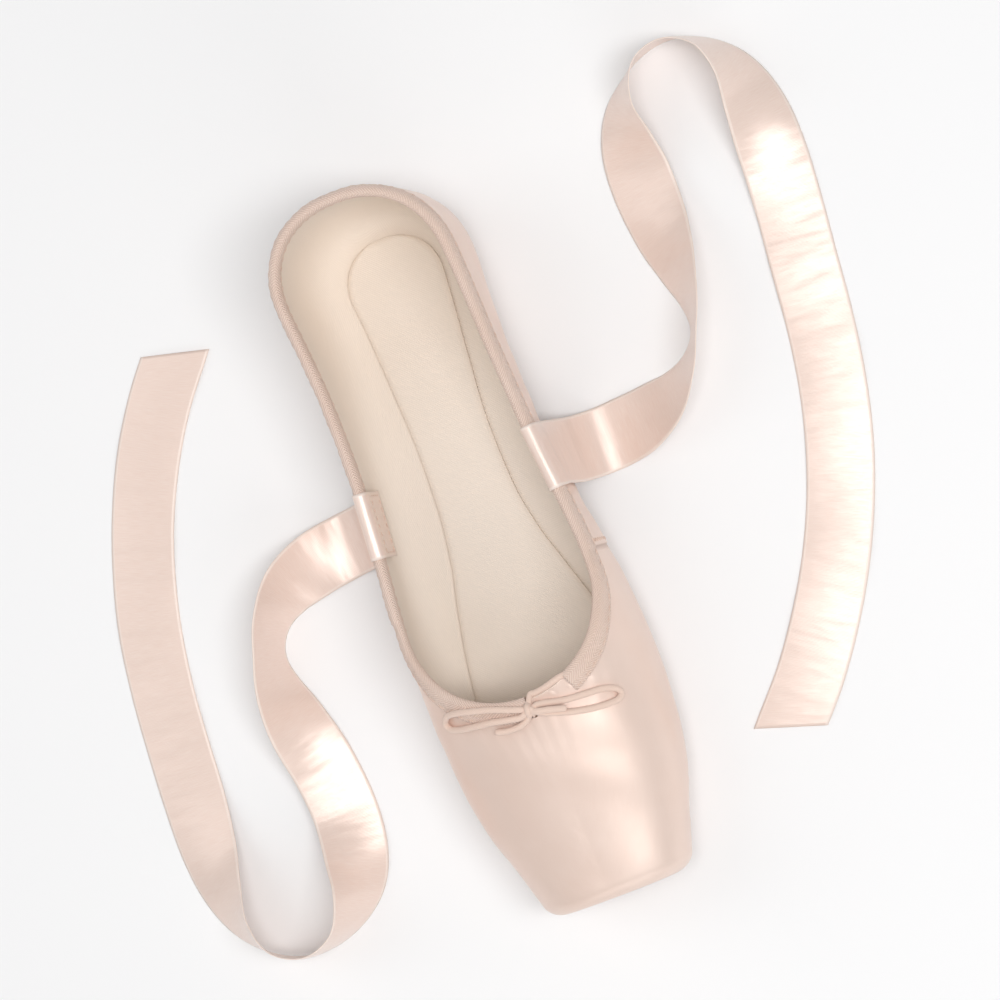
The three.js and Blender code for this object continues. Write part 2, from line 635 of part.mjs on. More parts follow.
// Bow, by places on the vamp: x across and toe towards the toe, from the knot, and lift above the last.
const LOOP_LEFT = [
  { x: -3.0, toe: -1.4, lift: 3.10 }, { x: -6.0, toe: -2.6, lift: 3.25 }, { x: -11.0, toe: -4.6, lift: 3.20 },
  { x: -17.0, toe: -6.3, lift: 3.15 }, { x: -22.0, toe: -7.3, lift: 2.95 }, { x: -26.0, toe: -7.2, lift: 2.35 },
  { x: -28.3, toe: -5.2, lift: 1.60 }, { x: -27.5, toe: -2.8, lift: 1.55 }, { x: -24.0, toe: -1.6, lift: 1.60 },
  { x: -18.0, toe: -1.0, lift: 2.75 }, { x: -12.0, toe: -0.4, lift: 3.20 }, { x: -6.5, toe: 0.7, lift: 3.25 },
  { x: -3.0, toe: 1.2, lift: 3.10 },
];
const LOOP_RIGHT = [
  { x: 3.0, toe: -0.6, lift: 2.3 }, { x: 6.0, toe: 0.1, lift: 1.8 }, { x: 11.0, toe: 1.4, lift: 1.45 },
  { x: 17.0, toe: 2.0, lift: 1.4 }, { x: 22.0, toe: 2.5, lift: 1.4 }, { x: 25.5, toe: 3.9, lift: 1.4 },
  { x: 26.5, toe: 5.9, lift: 1.4 }, { x: 24.5, toe: 7.5, lift: 1.4 }, { x: 19.0, toe: 7.3, lift: 1.4 },
  { x: 13.0, toe: 6.1, lift: 1.45 }, { x: 7.5, toe: 4.3, lift: 1.6 }, { x: 3.1, toe: 2.3, lift: 2.2 },
];
const END_LEFT = [
  { x: -1.7, toe: 4.1, lift: 1.7 }, { x: -4.5, toe: 5.3, lift: 1.5 }, { x: -8.0, toe: 5.1, lift: 1.4 },
  { x: -11.5, toe: 4.2, lift: 1.4 }, { x: -13.3, toe: 3.4, lift: 1.4 },
];
const END_RIGHT = [
  { x: 3.0, toe: 0.8, lift: 4.6 }, { x: 5.5, toe: 1.7, lift: 4.1 }, { x: 8.5, toe: 2.9, lift: 3.6 },
  { x: 10.6, toe: 3.6, lift: 3.4 },
];
const LEAD = [13.5, 11, 8.5, 6, 3.5, 1.6];

const throat = new THREE.Vector3(0, toY(VAMP_LENGTH), THROAT_HEIGHT);
const knotSeat = onLast(throat.clone().add(new THREE.Vector3(0, -KNOT_SETBACK, 0)));
function onVamp({ x, toe, lift }) {
  const y = knotSeat.y - toe;
  const section = sectionAt(y + LENGTH / 2);
  const share = (Math.abs(x) / section.half) ** section.power;
  const z = section.widest + (section.crown - section.widest) * (1 - share) ** (1 / section.power);
  const seat = new THREE.Vector3(x, y, z);
  return seat.addScaledVector(outwardAt(seat), lift);
}

function buildKnot() {
  const geometry = new THREE.SphereGeometry(1, 12, 8);
  geometry.scale(KNOT_LENGTH / 2, KNOT_DEPTH / 2, KNOT_HEIGHT / 2);
  const knot = new THREE.Mesh(geometry, new THREE.MeshStandardMaterial(CORD));
  knot.name = 'bow_knot';
  knot.position.copy(knotSeat).addScaledVector(outwardAt(knotSeat), KNOT_HEIGHT / 2 + GAP);
  return knot;
}

function buildLead() {
  const places = LEAD.map((reach) => {
    const frame = collarFrame(reach);
    const wall = wallAt(frame.edge.y + LENGTH / 2);
    return byCollar(frame, -wall / 2, -(CORD_DIAMETER / 2 + GAP));
  });
  return buildCord('drawstring_lead', places);
}

// Ribbons lie loose on the floor: x and y in plan, bank in degrees from flat to on edge, z only where one hangs.
const RIBBON_RIGHT = [
  { x: 36.2, y: 18.0, z: 14 }, { x: 38.4, y: 18.0, z: 6.6 }, { x: 43.0, y: 18.0, z: 1.6 },
  { x: 50.0, y: 18.2, bank: 3 }, { x: 60.0, y: 19.2, bank: 20 }, { x: 71.0, y: 22.5, bank: 45 },
  { x: 80.0, y: 29.5, bank: 68 }, { x: 86.0, y: 39.0, bank: 78 }, { x: 88.6, y: 50.0, bank: 66 },
  { x: 88.6, y: 63.0, bank: 42 }, { x: 87.6, y: 77.0, bank: 20 }, { x: 87.2, y: 92.0, bank: 14 },
  { x: 88.4, y: 106.0, bank: 36 }, { x: 92.4, y: 118.0, bank: 64 }, { x: 100.5, y: 127.0, bank: 81 },
  { x: 111.6, y: 129.6, bank: 85 }, { x: 122.0, y: 125.0, bank: 80 }, { x: 128.4, y: 115.0, bank: 62 },
  { x: 130.6, y: 101.0, bank: 35 }, { x: 130.2, y: 85.0, bank: 12 }, { x: 128.6, y: 67.0, bank: 3 },
  { x: 126.4, y: 48.0, bank: 1 }, { x: 124.2, y: 29.0 }, { x: 121.0, y: 10.0 }, { x: 116.2, y: -9.0 },
  { x: 109.6, y: -27.0 }, { x: 101.2, y: -44.5 }, { x: 91.2, y: -61.0 }, { x: 79.8, y: -76.5 },
  { x: 67.2, y: -90.5 },
];
const RIBBON_LEFT = [
  { x: -36.2, y: 18.0, z: 14 }, { x: -38.4, y: 18.0, z: 6.6 }, { x: -43.0, y: 17.8, z: 1.6 },
  { x: -50.0, y: 17.2, bank: 3 }, { x: -60.0, y: 15.4, bank: 20 }, { x: -70.5, y: 11.0, bank: 45 },
  { x: -79.0, y: 3.0, bank: 68 }, { x: -84.0, y: -7.5, bank: 76 }, { x: -85.6, y: -19.0, bank: 62 },
  { x: -84.6, y: -33.0, bank: 36 }, { x: -82.6, y: -48.0, bank: 14 }, { x: -81.4, y: -64.0, bank: 12 },
  { x: -82.2, y: -79.0, bank: 32 }, { x: -86.4, y: -92.0, bank: 60 }, { x: -95.0, y: -101.5, bank: 80 },
  { x: -107.0, y: -104.6, bank: 85 }, { x: -118.6, y: -100.0, bank: 80 }, { x: -126.0, y: -89.5, bank: 62 },
  { x: -129.4, y: -75.5, bank: 36 }, { x: -130.2, y: -59.5, bank: 13 }, { x: -129.4, y: -41.5, bank: 3 },
  { x: -128.2, y: -23.0, bank: 1 }, { x: -126.4, y: -4.0 }, { x: -123.2, y: 15.0 }, { x: -118.2, y: 33.5 },
  { x: -111.4, y: 51.5 }, { x: -102.8, y: 68.5 }, { x: -92.4, y: 84.5 }, { x: -80.4, y: 99.0 },
];

// Each ribbon is sewn inside the quarter, passes over the casing and hangs down the wall to the floor.
const RIBBON_CLEARANCE = 0.5;
const RIBBON_STEPS = 2;
function buildRibbon(name, route, side) {
  const half = RIBBON_WIDTH / 2;
  let reach = 0;
  while (collarFrame(reach).edge.y < toY(RIBBON_AT)) reach += 0.5;
  const frame = collarFrame(side > 0 ? reach : COLLAR_LENGTH - reach);
  const clear = CASING_CLEARANCE + CASING_WALL + RIBBON_CLEARANCE + RIBBON_THICKNESS / 2;
  const outer = lapAt(RIBBON_AT) + clear;
  const inner = -wallAt(RIBBON_AT) - clear;
  const fold = 0.8;
  const onWall = [
    [inner, RIBBON_SEWN], [inner, 0.66 * RIBBON_SEWN], [inner, 0.33 * RIBBON_SEWN], [inner, 1],
    [inner + fold, -clear], [(inner + outer) / 2, -clear - fold / 2], [outer - fold, -clear],
    [outer, 1], [outer, CASING_OUTSIDE], [outer, 2 * CASING_OUTSIDE],
  ];
  const collarWise = frame.out.clone().cross(frame.down).normalize();
  if (collarWise.y * side > 0) collarWise.negate();
  const centres = onWall.map(([outset, drop]) => byCollar(frame, outset, drop));
  const widths = onWall.map(() => collarWise);
  const up = new THREE.Vector3(0, 0, 1);
  route.forEach(({ x, y, z, bank = 0 }, i) => {
    const tilt = THREE.MathUtils.degToRad(bank);
    centres.push(new THREE.Vector3(x, y, z ?? half * Math.sin(tilt) + RIBBON_THICKNESS));
    const ahead = route[Math.min(i + 1, route.length - 1)];
    const behind = route[Math.max(i - 1, 0)];
    const level = z === undefined
      ? new THREE.Vector3(ahead.x - behind.x, ahead.y - behind.y, 0).normalize().cross(up)
      : new THREE.Vector3(0, -side, 0);
    widths.push(level.multiplyScalar(Math.cos(tilt)).addScaledVector(up, Math.sin(tilt)));
  });
  const path = new THREE.CatmullRomCurve3(centres, false, 'catmullrom');
  const widthPath = new THREE.CatmullRomCurve3(widths, false, 'catmullrom');
  const count = RIBBON_STEPS * (centres.length - 1);
  const rings = Array.from({ length: count + 1 }, (_, i) => {
    const share = i / count;
    const centre = path.getPoint(share);
    const along = path.getTangent(share);
    const across = widthPath.getPoint(share);
    across.addScaledVector(along, -across.dot(along)).setLength(half);
    const face = along.clone().cross(across).setLength(RIBBON_THICKNESS / 2);
    return [[1, 1], [-1, 1], [-1, -1], [1, -1]].map(
      ([wide, thick]) => centre.clone().addScaledVector(across, wide).addScaledVector(face, thick),
    );
  });
  return loft(rings, name, RIBBON_SATIN);
}

const group = new THREE.Group();
group.add(
  upper,
  outsole,
  insole,
  buildCasing(),
  buildLead(),
  buildKnot(),
  buildCord('bow_loop_left', LOOP_LEFT.map(onVamp)),
  buildCord('bow_loop_right', LOOP_RIGHT.map(onVamp)),
  buildCord('bow_end_left', END_LEFT.map(onVamp)),
  buildCord('bow_end_right', END_RIGHT.map(onVamp)),
  buildRibbon('ribbon_right', RIBBON_RIGHT, 1),
  buildRibbon('ribbon_left', RIBBON_LEFT, -1),
);
export default group;
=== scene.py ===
"""Pointe shoe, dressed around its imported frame. Sizes are in millimetres until a mesh is made."""
import math

import bpy
import numpy as np
from mathutils import Matrix, Vector


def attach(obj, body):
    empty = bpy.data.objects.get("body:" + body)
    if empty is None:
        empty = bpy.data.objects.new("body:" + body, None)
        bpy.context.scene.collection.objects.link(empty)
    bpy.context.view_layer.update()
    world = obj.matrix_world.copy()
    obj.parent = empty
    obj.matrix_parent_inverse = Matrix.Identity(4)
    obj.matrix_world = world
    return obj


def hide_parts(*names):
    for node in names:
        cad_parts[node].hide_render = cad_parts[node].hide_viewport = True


MM = 0.001

# The last and the soles, as the frame has them.
LENGTH = 240
BALL_WIDTH = 76.4
WAIST_WIDTH = 60
HEEL_WIDTH = 61
HEEL_DEPTH = 29
PLATFORM_WIDTH = 48
PLATFORM_HEIGHT = 30
PLATFORM_ROUND = 4.5
VAMP_LENGTH = 68
THROAT_HEIGHT = 50
COLLAR_HEIGHT = 38
HEEL_HEIGHT = 57
INSTEP_HEIGHT = 105
WIDEST_HEIGHT = 16
TOE_SPRING = 4.5
ARCH_RISE = 6
BOX_WALL = 2.8
BOX_DEPTH = 42
QUARTER_WALL = 1.4
SEAM_AT = 106
SEAM_LAP = 0.5
OUTSOLE_THICKNESS = 1.8
OUTSOLE_WIDTH = 53
OUTSOLE_WAIST = 26.5
OUTSOLE_HEEL = 34
OUTSOLE_FRONT = 15
OUTSOLE_BACK = 13
OUTSOLE_FRONT_ROUND = 30
LASTING_MARGIN = 8
INSOLE_THICKNESS = 2
INSOLE_FRONT = 9
GAP = 0.3

# Casing, drawstring and ribbons.
CASING_OUTSIDE = 6
CASING_INSIDE = 5
CASING_WALL = 0.6
CASING_CLEARANCE = 0.12
CASING_START = 14
CASING_END = 0.3
CORD_DIAMETER = 2.1
KNOT_SETBACK = 2.4
KNOT_HEIGHT = 4
RIBBON_WIDTH = 22
RIBBON_THICKNESS = 0.34
RIBBON_AT = 138
RIBBON_SEWN = 19

HEEL_AXIS = LENGTH - SEAM_LAP - HEEL_DEPTH
UNDERSIDE = OUTSOLE_THICKNESS + GAP
PLATFORM_TOP = UNDERSIDE + TOE_SPRING + PLATFORM_HEIGHT
BEHIND_THROAT = LENGTH - VAMP_LENGTH
LOWER_POWER = 2.4
PLAN_POWER = 2.2
OPENING_FRONT = OUTSOLE_FRONT + LASTING_MARGIN
OPENING_BACK = LENGTH - OUTSOLE_BACK - LASTING_MARGIN
PROBE = 0.02

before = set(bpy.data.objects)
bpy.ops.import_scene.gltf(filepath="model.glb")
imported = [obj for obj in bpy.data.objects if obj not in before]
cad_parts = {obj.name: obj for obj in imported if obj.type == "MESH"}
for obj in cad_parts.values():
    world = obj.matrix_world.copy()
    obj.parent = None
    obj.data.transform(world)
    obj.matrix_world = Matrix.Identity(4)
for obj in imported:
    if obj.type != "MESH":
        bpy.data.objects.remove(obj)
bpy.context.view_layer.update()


def smooth(rows, length=1):
    """Monotone cubic through rows of (share of the length, value). Equal neighbours stay level."""
    at = length * np.array([row[0] for row in rows], dtype=float)
    value = np.array([row[1] for row in rows], dtype=float)
    step = np.diff(at)
    slope = np.diff(value) / step
    tangent = np.zeros(len(at))
    tangent[0], tangent[-1] = slope[0], slope[-1]
    for i in range(1, len(at) - 1):
        if slope[i - 1] * slope[i] > 0:
            before = 2 * step[i] + step[i - 1]
            after = step[i] + 2 * step[i - 1]
            tangent[i] = (before + after) / (before / slope[i - 1] + after / slope[i])

    def value_at(x):
        x = np.clip(np.asarray(x, dtype=float), at[0], at[-1])
        i = np.clip(np.searchsorted(at, x, side="right") - 1, 0, len(step) - 1)
        t = (x - at[i]) / step[i]
        rise = value[i + 1] - value[i]
        bend = t * (1 - t) ** 2 * (tangent[i] * step[i] - rise)
        back = t * t * (1 - t) * (rise - tangent[i + 1] * step[i])
        return value[i] + t * rise + bend + back

    return value_at


def on_vamp_line(share):
    return PLATFORM_TOP + share * (THROAT_HEIGHT - PLATFORM_TOP)


def on_instep(share):
    return THROAT_HEIGHT + share * (INSTEP_HEIGHT - THROAT_HEIGHT)


def from_throat(share):
    return COLLAR_HEIGHT + share * (THROAT_HEIGHT - COLLAR_HEIGHT)


def from_heel(share):
    return COLLAR_HEIGHT + share * (HEEL_HEIGHT - COLLAR_HEIGHT)


def behind(share):
    return VAMP_LENGTH + share * BEHIND_THROAT


# Each row has the distance from the toe tip, as a share of the length named last, and the value.
half_at = smooth([
    (0, 0.5 * PLATFORM_WIDTH), (0.08, 0.393 * BALL_WIDTH), (0.13, 0.445 * BALL_WIDTH),
    (0.20, 0.485 * BALL_WIDTH), (0.29, 0.5 * BALL_WIDTH), (0.375, 0.491 * BALL_WIDTH),
    (0.46, 0.458 * BALL_WIDTH), (0.54, 0.541 * WAIST_WIDTH), (0.65, 0.502 * WAIST_WIDTH),
    (0.75, 0.492 * WAIST_WIDTH), (HEEL_AXIS / LENGTH, 0.5 * HEEL_WIDTH),
], LENGTH)
widest_at = smooth([
    (0, 1.25 * WIDEST_HEIGHT), (0.20, 1.03 * WIDEST_HEIGHT), (0.29, WIDEST_HEIGHT),
    (0.46, 1.13 * WIDEST_HEIGHT), (0.62, 1.38 * WIDEST_HEIGHT), (0.875, 1.5 * WIDEST_HEIGHT),
    (1, 1.6 * WIDEST_HEIGHT),
], LENGTH)
power_at = smooth([(0, 2.3), (0.28, 2.1), (0.50, 2), (1, 2)], LENGTH)
rise_at = smooth([
    (0, TOE_SPRING), (0.04, 0.6 * TOE_SPRING), (0.08, 0.2 * TOE_SPRING), (0.12, 0), (0.36, 0),
    (0.44, 0.5 * ARCH_RISE), (0.55, ARCH_RISE), (0.66, 0.84 * ARCH_RISE), (0.75, 0.4 * ARCH_RISE),
    (0.84, 0), (1, 0),
], LENGTH)
sole_half_at = smooth([
    (0, 0.25 * OUTSOLE_WIDTH), (0.08, 0.39 * OUTSOLE_WIDTH), (0.15, 0.465 * OUTSOLE_WIDTH),
    (0.22, 0.497 * OUTSOLE_WIDTH), (0.29, 0.5 * OUTSOLE_WIDTH), (0.36, 0.466 * OUTSOLE_WIDTH),
    (0.43, 0.39 * OUTSOLE_WIDTH), (0.50, 0.61 * OUTSOLE_WAIST), (0.57, 0.52 * OUTSOLE_WAIST),
    (0.65, 0.5 * OUTSOLE_WAIST), (0.75, 0.55 * OUTSOLE_WAIST), (HEEL_AXIS / LENGTH, 0.5 * OUTSOLE_HEEL),
], LENGTH)
crown_at = smooth([
    (0, on_vamp_line(0)), (0.28 * VAMP_LENGTH, on_vamp_line(0.22)), (0.46 * VAMP_LENGTH, on_vamp_line(0.40)),
    (0.70 * VAMP_LENGTH, on_vamp_line(0.66)), (VAMP_LENGTH, THROAT_HEIGHT), (behind(0.08), on_instep(0.13)),
    (behind(0.19), on_instep(0.38)), (behind(0.30), on_instep(0.62)), (behind(0.48), on_instep(0.85)),
    (behind(0.71), on_instep(0.98)), (LENGTH, INSTEP_HEIGHT),
])
collar_at = smooth([
    (VAMP_LENGTH, THROAT_HEIGHT), (behind(0.022), from_throat(0.89)), (behind(0.08), from_throat(0.60)),
    (behind(0.19), from_throat(0.13)), (behind(0.27), from_throat(0.02)), (behind(0.36), COLLAR_HEIGHT),
    (behind(0.51), from_heel(0.04)), (behind(0.65), from_heel(0.17)), (behind(0.77), from_heel(0.42)),
    (HEEL_AXIS, from_heel(0.6)), (LENGTH, HEEL_HEIGHT),
])
wall_at = smooth([(0, BOX_WALL), (BOX_DEPTH, BOX_WALL), (VAMP_LENGTH, QUARTER_WALL), (LENGTH, QUARTER_WALL)])


def to_y(distance):
    return distance - LENGTH / 2


def eased(share):
    """0 to 1, with level ends."""
    share = np.clip(share, 0, 1)
    return share * share * (3 - 2 * share)


def bell(off, width):
    """1 in the middle, falling to nearly 0 at twice the width."""
    return np.exp(-(off / width) ** 2)


def section_at(distance, turn=0.0):
    """The last's section as (half, crown, widest, base, flat, power), by distance and turn round the heel."""
    distance = np.asarray(distance, dtype=float)
    turn = np.asarray(turn, dtype=float)
    left = np.maximum(0, PLATFORM_ROUND - distance)
    inset = PLATFORM_ROUND - np.sqrt(np.maximum(0, PLATFORM_ROUND ** 2 - left ** 2))
    across = (np.cos(turn) / half_at(HEEL_AXIS)) ** PLAN_POWER
    along = (np.sin(turn) / HEEL_DEPTH) ** PLAN_POWER
    fanned = np.maximum(across + along, 1e-9) ** (-1 / PLAN_POWER)
    half = np.where(turn > 0, fanned, half_at(distance) - inset)
    flat = np.minimum(sole_half_at(distance) + 1 - 0.5 * inset, 0.9 * half)
    base = UNDERSIDE + rise_at(distance) + inset
    return half, crown_at(distance) - inset, widest_at(distance), base, flat, power_at(distance)


def rounded_end(share):
    return (1 - (1 - np.clip(share, 0, 1)) ** PLAN_POWER) ** (1 / PLAN_POWER)


def outline_at(distance, front, back, front_round, margin):
    """Half width of a plate with the outsole's outline, its ends rounded."""
    ends = rounded_end((distance - front) / front_round) * rounded_end((back - distance) / (back - HEEL_AXIS))
    return (sole_half_at(distance) - margin) * ends


def level(place):
    """Signed level of places against the last: zero on its surface, negative inside."""
    x, y, z = place[..., 0], place[..., 1], place[..., 2]
    axis_y = to_y(HEEL_AXIS)
    at_heel = y > axis_y
    side = np.abs(x)
    turn = np.where(at_heel, np.arctan2(y - axis_y, side), 0)
    reach = np.where(at_heel, np.hypot(side, y - axis_y), side)
    distance = np.where(at_heel, HEEL_AXIS + HEEL_DEPTH * np.sin(turn), y + LENGTH / 2)
    half, crown, widest, base, flat, power = section_at(distance, turn)
    up = np.maximum(z - widest, 0) / (crown - widest)
    upper = ((reach / half) ** power + up ** power) ** (1 / power) - 1
    out = np.maximum(0, reach - flat) / (half - flat)
    down = np.maximum(widest - z, 0) / (widest - base)
    lower = (out ** LOWER_POWER + down ** LOWER_POWER) ** (1 / LOWER_POWER) - 1
    return np.where(z >= widest, upper, lower)


def slope_of(place):
    rises = [level(place + shift) - level(place - shift) for shift in PROBE * np.eye(3)]
    return np.stack(rises, axis=-1) / (2 * PROBE)


def unit(vectors):
    return vectors / np.maximum(np.linalg.norm(vectors, axis=-1, keepdims=True), 1e-12)


def outward_at(place):
    return unit(slope_of(place))


def on_last(place):
    """Nearest points of the last's surface."""
    place = np.array(place, dtype=float)
    for _ in range(8):
        slope = slope_of(place)
        place = place - slope * (level(place) / np.sum(slope * slope, axis=-1))[..., None]
    return place


def welded(verts, faces, uvs):
    """Joins equal places and drops the faces that shrink to a line. uvs has one row for each vertex."""
    keys = np.round(verts, 3)
    _, first, index = np.unique(keys, axis=0, return_index=True, return_inverse=True)
    index = index.reshape(-1)
    kept_faces, kept_uvs, kept = [], [], []
    for number, face in enumerate(faces):
        corners, corner_uvs = [], []
        for vertex in face:
            merged = int(index[vertex])
            if merged not in corners:
                corners.append(merged)
                corner_uvs.append(uvs[vertex])
        if len(corners) > 2:
            kept_faces.append(corners)
            kept_uvs.extend(corner_uvs)
            kept.append(number)
    return verts[first], kept_faces, np.array(kept_uvs), kept, first


def make_piece(name, replaced, materials, verts, faces, uvs, face_material=None, relief=None):
    """A smooth-shaded piece with places and one UV map in millimetres, for the named CAD nodes."""
    verts, uvs = np.asarray(verts, dtype=float), np.asarray(uvs, dtype=float)
    places, kept_faces, loop_uvs, kept, first = welded(verts, faces, uvs)
    mesh = bpy.data.meshes.new(name)
    mesh.from_pydata((places * MM).tolist(), [], kept_faces)
    layer = mesh.uv_layers.new(name="UVMap")
    layer.data.foreach_set("uv", loop_uvs.ravel().astype(np.float32))
    for material in materials:
        mesh.materials.append(material)
    if face_material is not None:
        mesh.polygons.foreach_set("material_index", np.asarray(face_material)[kept].astype(np.int32))
    # The 'relief' attribute is a colour mask. On the upper it holds painted shade along the seams, and on the
    # outsole it marks where the tread outlines and the edge are darker.
    if relief is not None:
        attribute = mesh.attributes.new("relief", "FLOAT", "POINT")
        attribute.data.foreach_set("value", np.asarray(relief, dtype=np.float32)[first])
    mesh.update()
    mesh.shade_smooth()
    piece = bpy.data.objects.new(name, mesh)
    bpy.context.scene.collection.objects.link(piece)
    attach(piece, "root")
    if replaced:
        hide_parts(*replaced)
    return piece


def swept_faces(rows, columns, flip=False):
    """Faces of a closed form whose rings run row by row, with a cap at each end."""
    first = list(range(columns))
    last = [(rows - 1) * columns + j for j in first]
    return [*grid_faces(rows, columns, closed=True, flip=flip).tolist(), first, last[::-1]]


def grid_faces(rows, columns, start=0, closed=False, flip=False):
    """Quads of a grid whose vertices run row by row."""
    wide = columns if closed else columns - 1
    i, j = np.meshgrid(np.arange(rows - 1), np.arange(wide), indexing="ij")
    k = (j + 1) % columns
    a, b, c, d = i * columns + j, (i + 1) * columns + j, (i + 1) * columns + k, i * columns + k
    faces = np.stack([a, b, c, d], axis=-1).reshape(-1, 4) + start
    return faces[:, ::-1] if flip else faces


# Materials


class Nodes:
    """Short ways to add the nodes of one material."""

    def __init__(self, name, color, roughness):
        self.material = bpy.data.materials.new(name)
        self.material.use_nodes = True
        self.tree = self.material.node_tree
        self.shader = self.tree.nodes["Principled BSDF"]
        self.shader.inputs["Base Color"].default_value = (*color, 1)
        self.shader.inputs["Roughness"].default_value = roughness

    def add(self, kind, **values):
        node = self.tree.nodes.new(kind)
        for key, value in values.items():
            setattr(node, key, value)
        return node

    def link(self, source, target):
        self.tree.links.new(source, target)

    def math(self, operation, *values):
        node = self.add("ShaderNodeMath", operation=operation)
        for index, value in enumerate(values):
            if isinstance(value, (int, float)):
                node.inputs[index].default_value = value
            else:
                self.link(value, node.inputs[index])
        return node.outputs[0]

    def uv(self):
        split = self.add("ShaderNodeSeparateXYZ")
        self.link(self.add("ShaderNodeUVMap", uv_map="UVMap").outputs[0], split.inputs[0])
        return split.outputs[0], split.outputs[1]

    def noise(self, scale, detail=2.0, stretch=(1, 1, 1), coordinates=None):
        """Noise over places in metres, or over other coordinates."""
        mapping = self.add("ShaderNodeMapping")
        mapping.inputs["Scale"].default_value = stretch
        source = coordinates or self.add("ShaderNodeTexCoord").outputs["Object"]
        self.link(source, mapping.inputs["Vector"])
        noise = self.add("ShaderNodeTexNoise")
        noise.inputs["Scale"].default_value = scale
        noise.inputs["Detail"].default_value = detail
        self.link(mapping.outputs[0], noise.inputs["Vector"])
        return noise.outputs["Fac"]

    def uv_noise(self, scale, detail, stretch):
        return self.noise(scale, detail, stretch, self.add("ShaderNodeUVMap", uv_map="UVMap").outputs[0])

    def mix(self, factor, first, second):
        node = self.add("ShaderNodeMix", data_type="RGBA")
        if isinstance(factor, (int, float)):
            node.inputs["Factor"].default_value = factor
        else:
            self.link(factor, node.inputs["Factor"])
        for value, socket in ((first, node.inputs["A"]), (second, node.inputs["B"])):
            if isinstance(value, tuple):
                socket.default_value = (*value, 1)
            else:
                self.link(value, socket)
        return node.outputs["Result"]

    def span(self, value, low, high, to_low=0.0, to_high=1.0):
        node = self.add("ShaderNodeMapRange")
        for index, number in enumerate((low, high, to_low, to_high), start=1):
            node.inputs[index].default_value = number
        self.link(value, node.inputs[0])
        return node.outputs[0]

    def wave(self, value, pitch):
        """A sine of 0 to 1 with a pitch in the value's own unit."""
        sine = self.math("SINE", self.math("MULTIPLY", value, 2 * math.pi / pitch))
        return self.math("MULTIPLY_ADD", sine, 0.5, 0.5)

    def color(self, socket):
        self.link(socket, self.shader.inputs["Base Color"])

    def roughness(self, socket):
        self.link(socket, self.shader.inputs["Roughness"])

    def bump(self, heights):
        """Chains (height socket, depth in millimetres) into the normal."""
        previous = None
        for height, depth in heights:
            node = self.add("ShaderNodeBump")
            node.inputs["Strength"].default_value = 1.0
            node.inputs["Distance"].default_value = depth * MM
            self.link(height, node.inputs["Height"])
            if previous is not None:
                self.link(previous, node.inputs["Normal"])
            previous = node.outputs[0]
        self.link(previous, self.shader.inputs["Normal"])

    def set(self, **values):
        for key, value in values.items():
            self.shader.inputs[key.replace("_", " ")].default_value = value


SATIN_MID = (0.87, 0.69, 0.60)
SATIN_DEEP = (0.84, 0.645, 0.55)
SATIN_PALE = (0.89, 0.735, 0.66)


def satin_material():
    nodes = Nodes("satin", SATIN_MID, 0.36)
    _, around = nodes.uv()
    floats = nodes.wave(around, 0.2)
    slub = nodes.uv_noise(0.6, 4.0, (0.3, 12.0, 1))
    cloud = nodes.noise(24.0, 3.0)
    shade = nodes.mix(nodes.span(cloud, 0.35, 0.65), SATIN_DEEP, SATIN_MID)
    tone = nodes.mix(nodes.span(slub, 0.35, 0.7, 0.0, 0.35), shade, SATIN_PALE)
    # Painted shade on the seam lines: the upper's 'relief' attribute mixes the satin towards a dark brown
    # there.
    seam = nodes.add("ShaderNodeAttribute", attribute_name="relief").outputs["Fac"]
    nodes.color(nodes.mix(seam, tone, (0.42, 0.27, 0.20)))
    nodes.roughness(nodes.span(slub, 0.3, 0.7, 0.35, 0.43))
    nodes.bump([(cloud, 0.5), (slub, 0.018), (floats, 0.006)])
    nodes.set(Metallic=0.28, Sheen_Weight=0.1, Sheen_Roughness=0.3, Specular_IOR_Level=0.6)
    nodes.set(Coat_Weight=0.1, Coat_Roughness=0.3)
    nodes.shader.inputs["Sheen Tint"].default_value = (1.0, 0.93, 0.88, 1)
    return nodes.material


def lining_material():
    nodes = Nodes("lining", (0.84, 0.73, 0.63), 0.9)
    along, around = nodes.uv()
    twill = nodes.wave(nodes.math("ADD", along, around), 0.9)
    fuzz = nodes.noise(900.0, 2.0)
    nodes.color(nodes.mix(nodes.span(twill, 0, 1, 0.0, 0.3), (0.87, 0.78, 0.69), (0.78, 0.67, 0.58)))
    nodes.bump([(twill, 0.04), (fuzz, 0.04)])
    nodes.set(Sheen_Weight=0.2, Specular_IOR_Level=0.2)
    return nodes.material


def twill_material():
    """Herringbone tape: slanted ribs that turn over every few millimetres across the tape."""
    nodes = Nodes("casing_twill", (0.87, 0.66, 0.55), 0.7)
    along, around = nodes.uv()
    zigzag = nodes.math("PINGPONG", around, 3.0)
    ribs = nodes.wave(nodes.math("ADD", along, zigzag), 0.95)
    fuzz = nodes.noise(1500.0, 2.0)
    worn = nodes.noise(30.0, 3.0)
    base = nodes.mix(nodes.span(worn, 0.35, 0.65), (0.85, 0.66, 0.56), (0.89, 0.72, 0.63))
    # The ribs' hollows are painted darker: painted shade between the ribs.
    nodes.color(nodes.mix(nodes.span(ribs, 0, 1, 0.6, 0.0), base, (0.70, 0.49, 0.39)))
    nodes.bump([(ribs, 0.2), (fuzz, 0.03)])
    nodes.set(Sheen_Weight=0.3, Sheen_Roughness=0.5, Specular_IOR_Level=0.3)
    return nodes.material


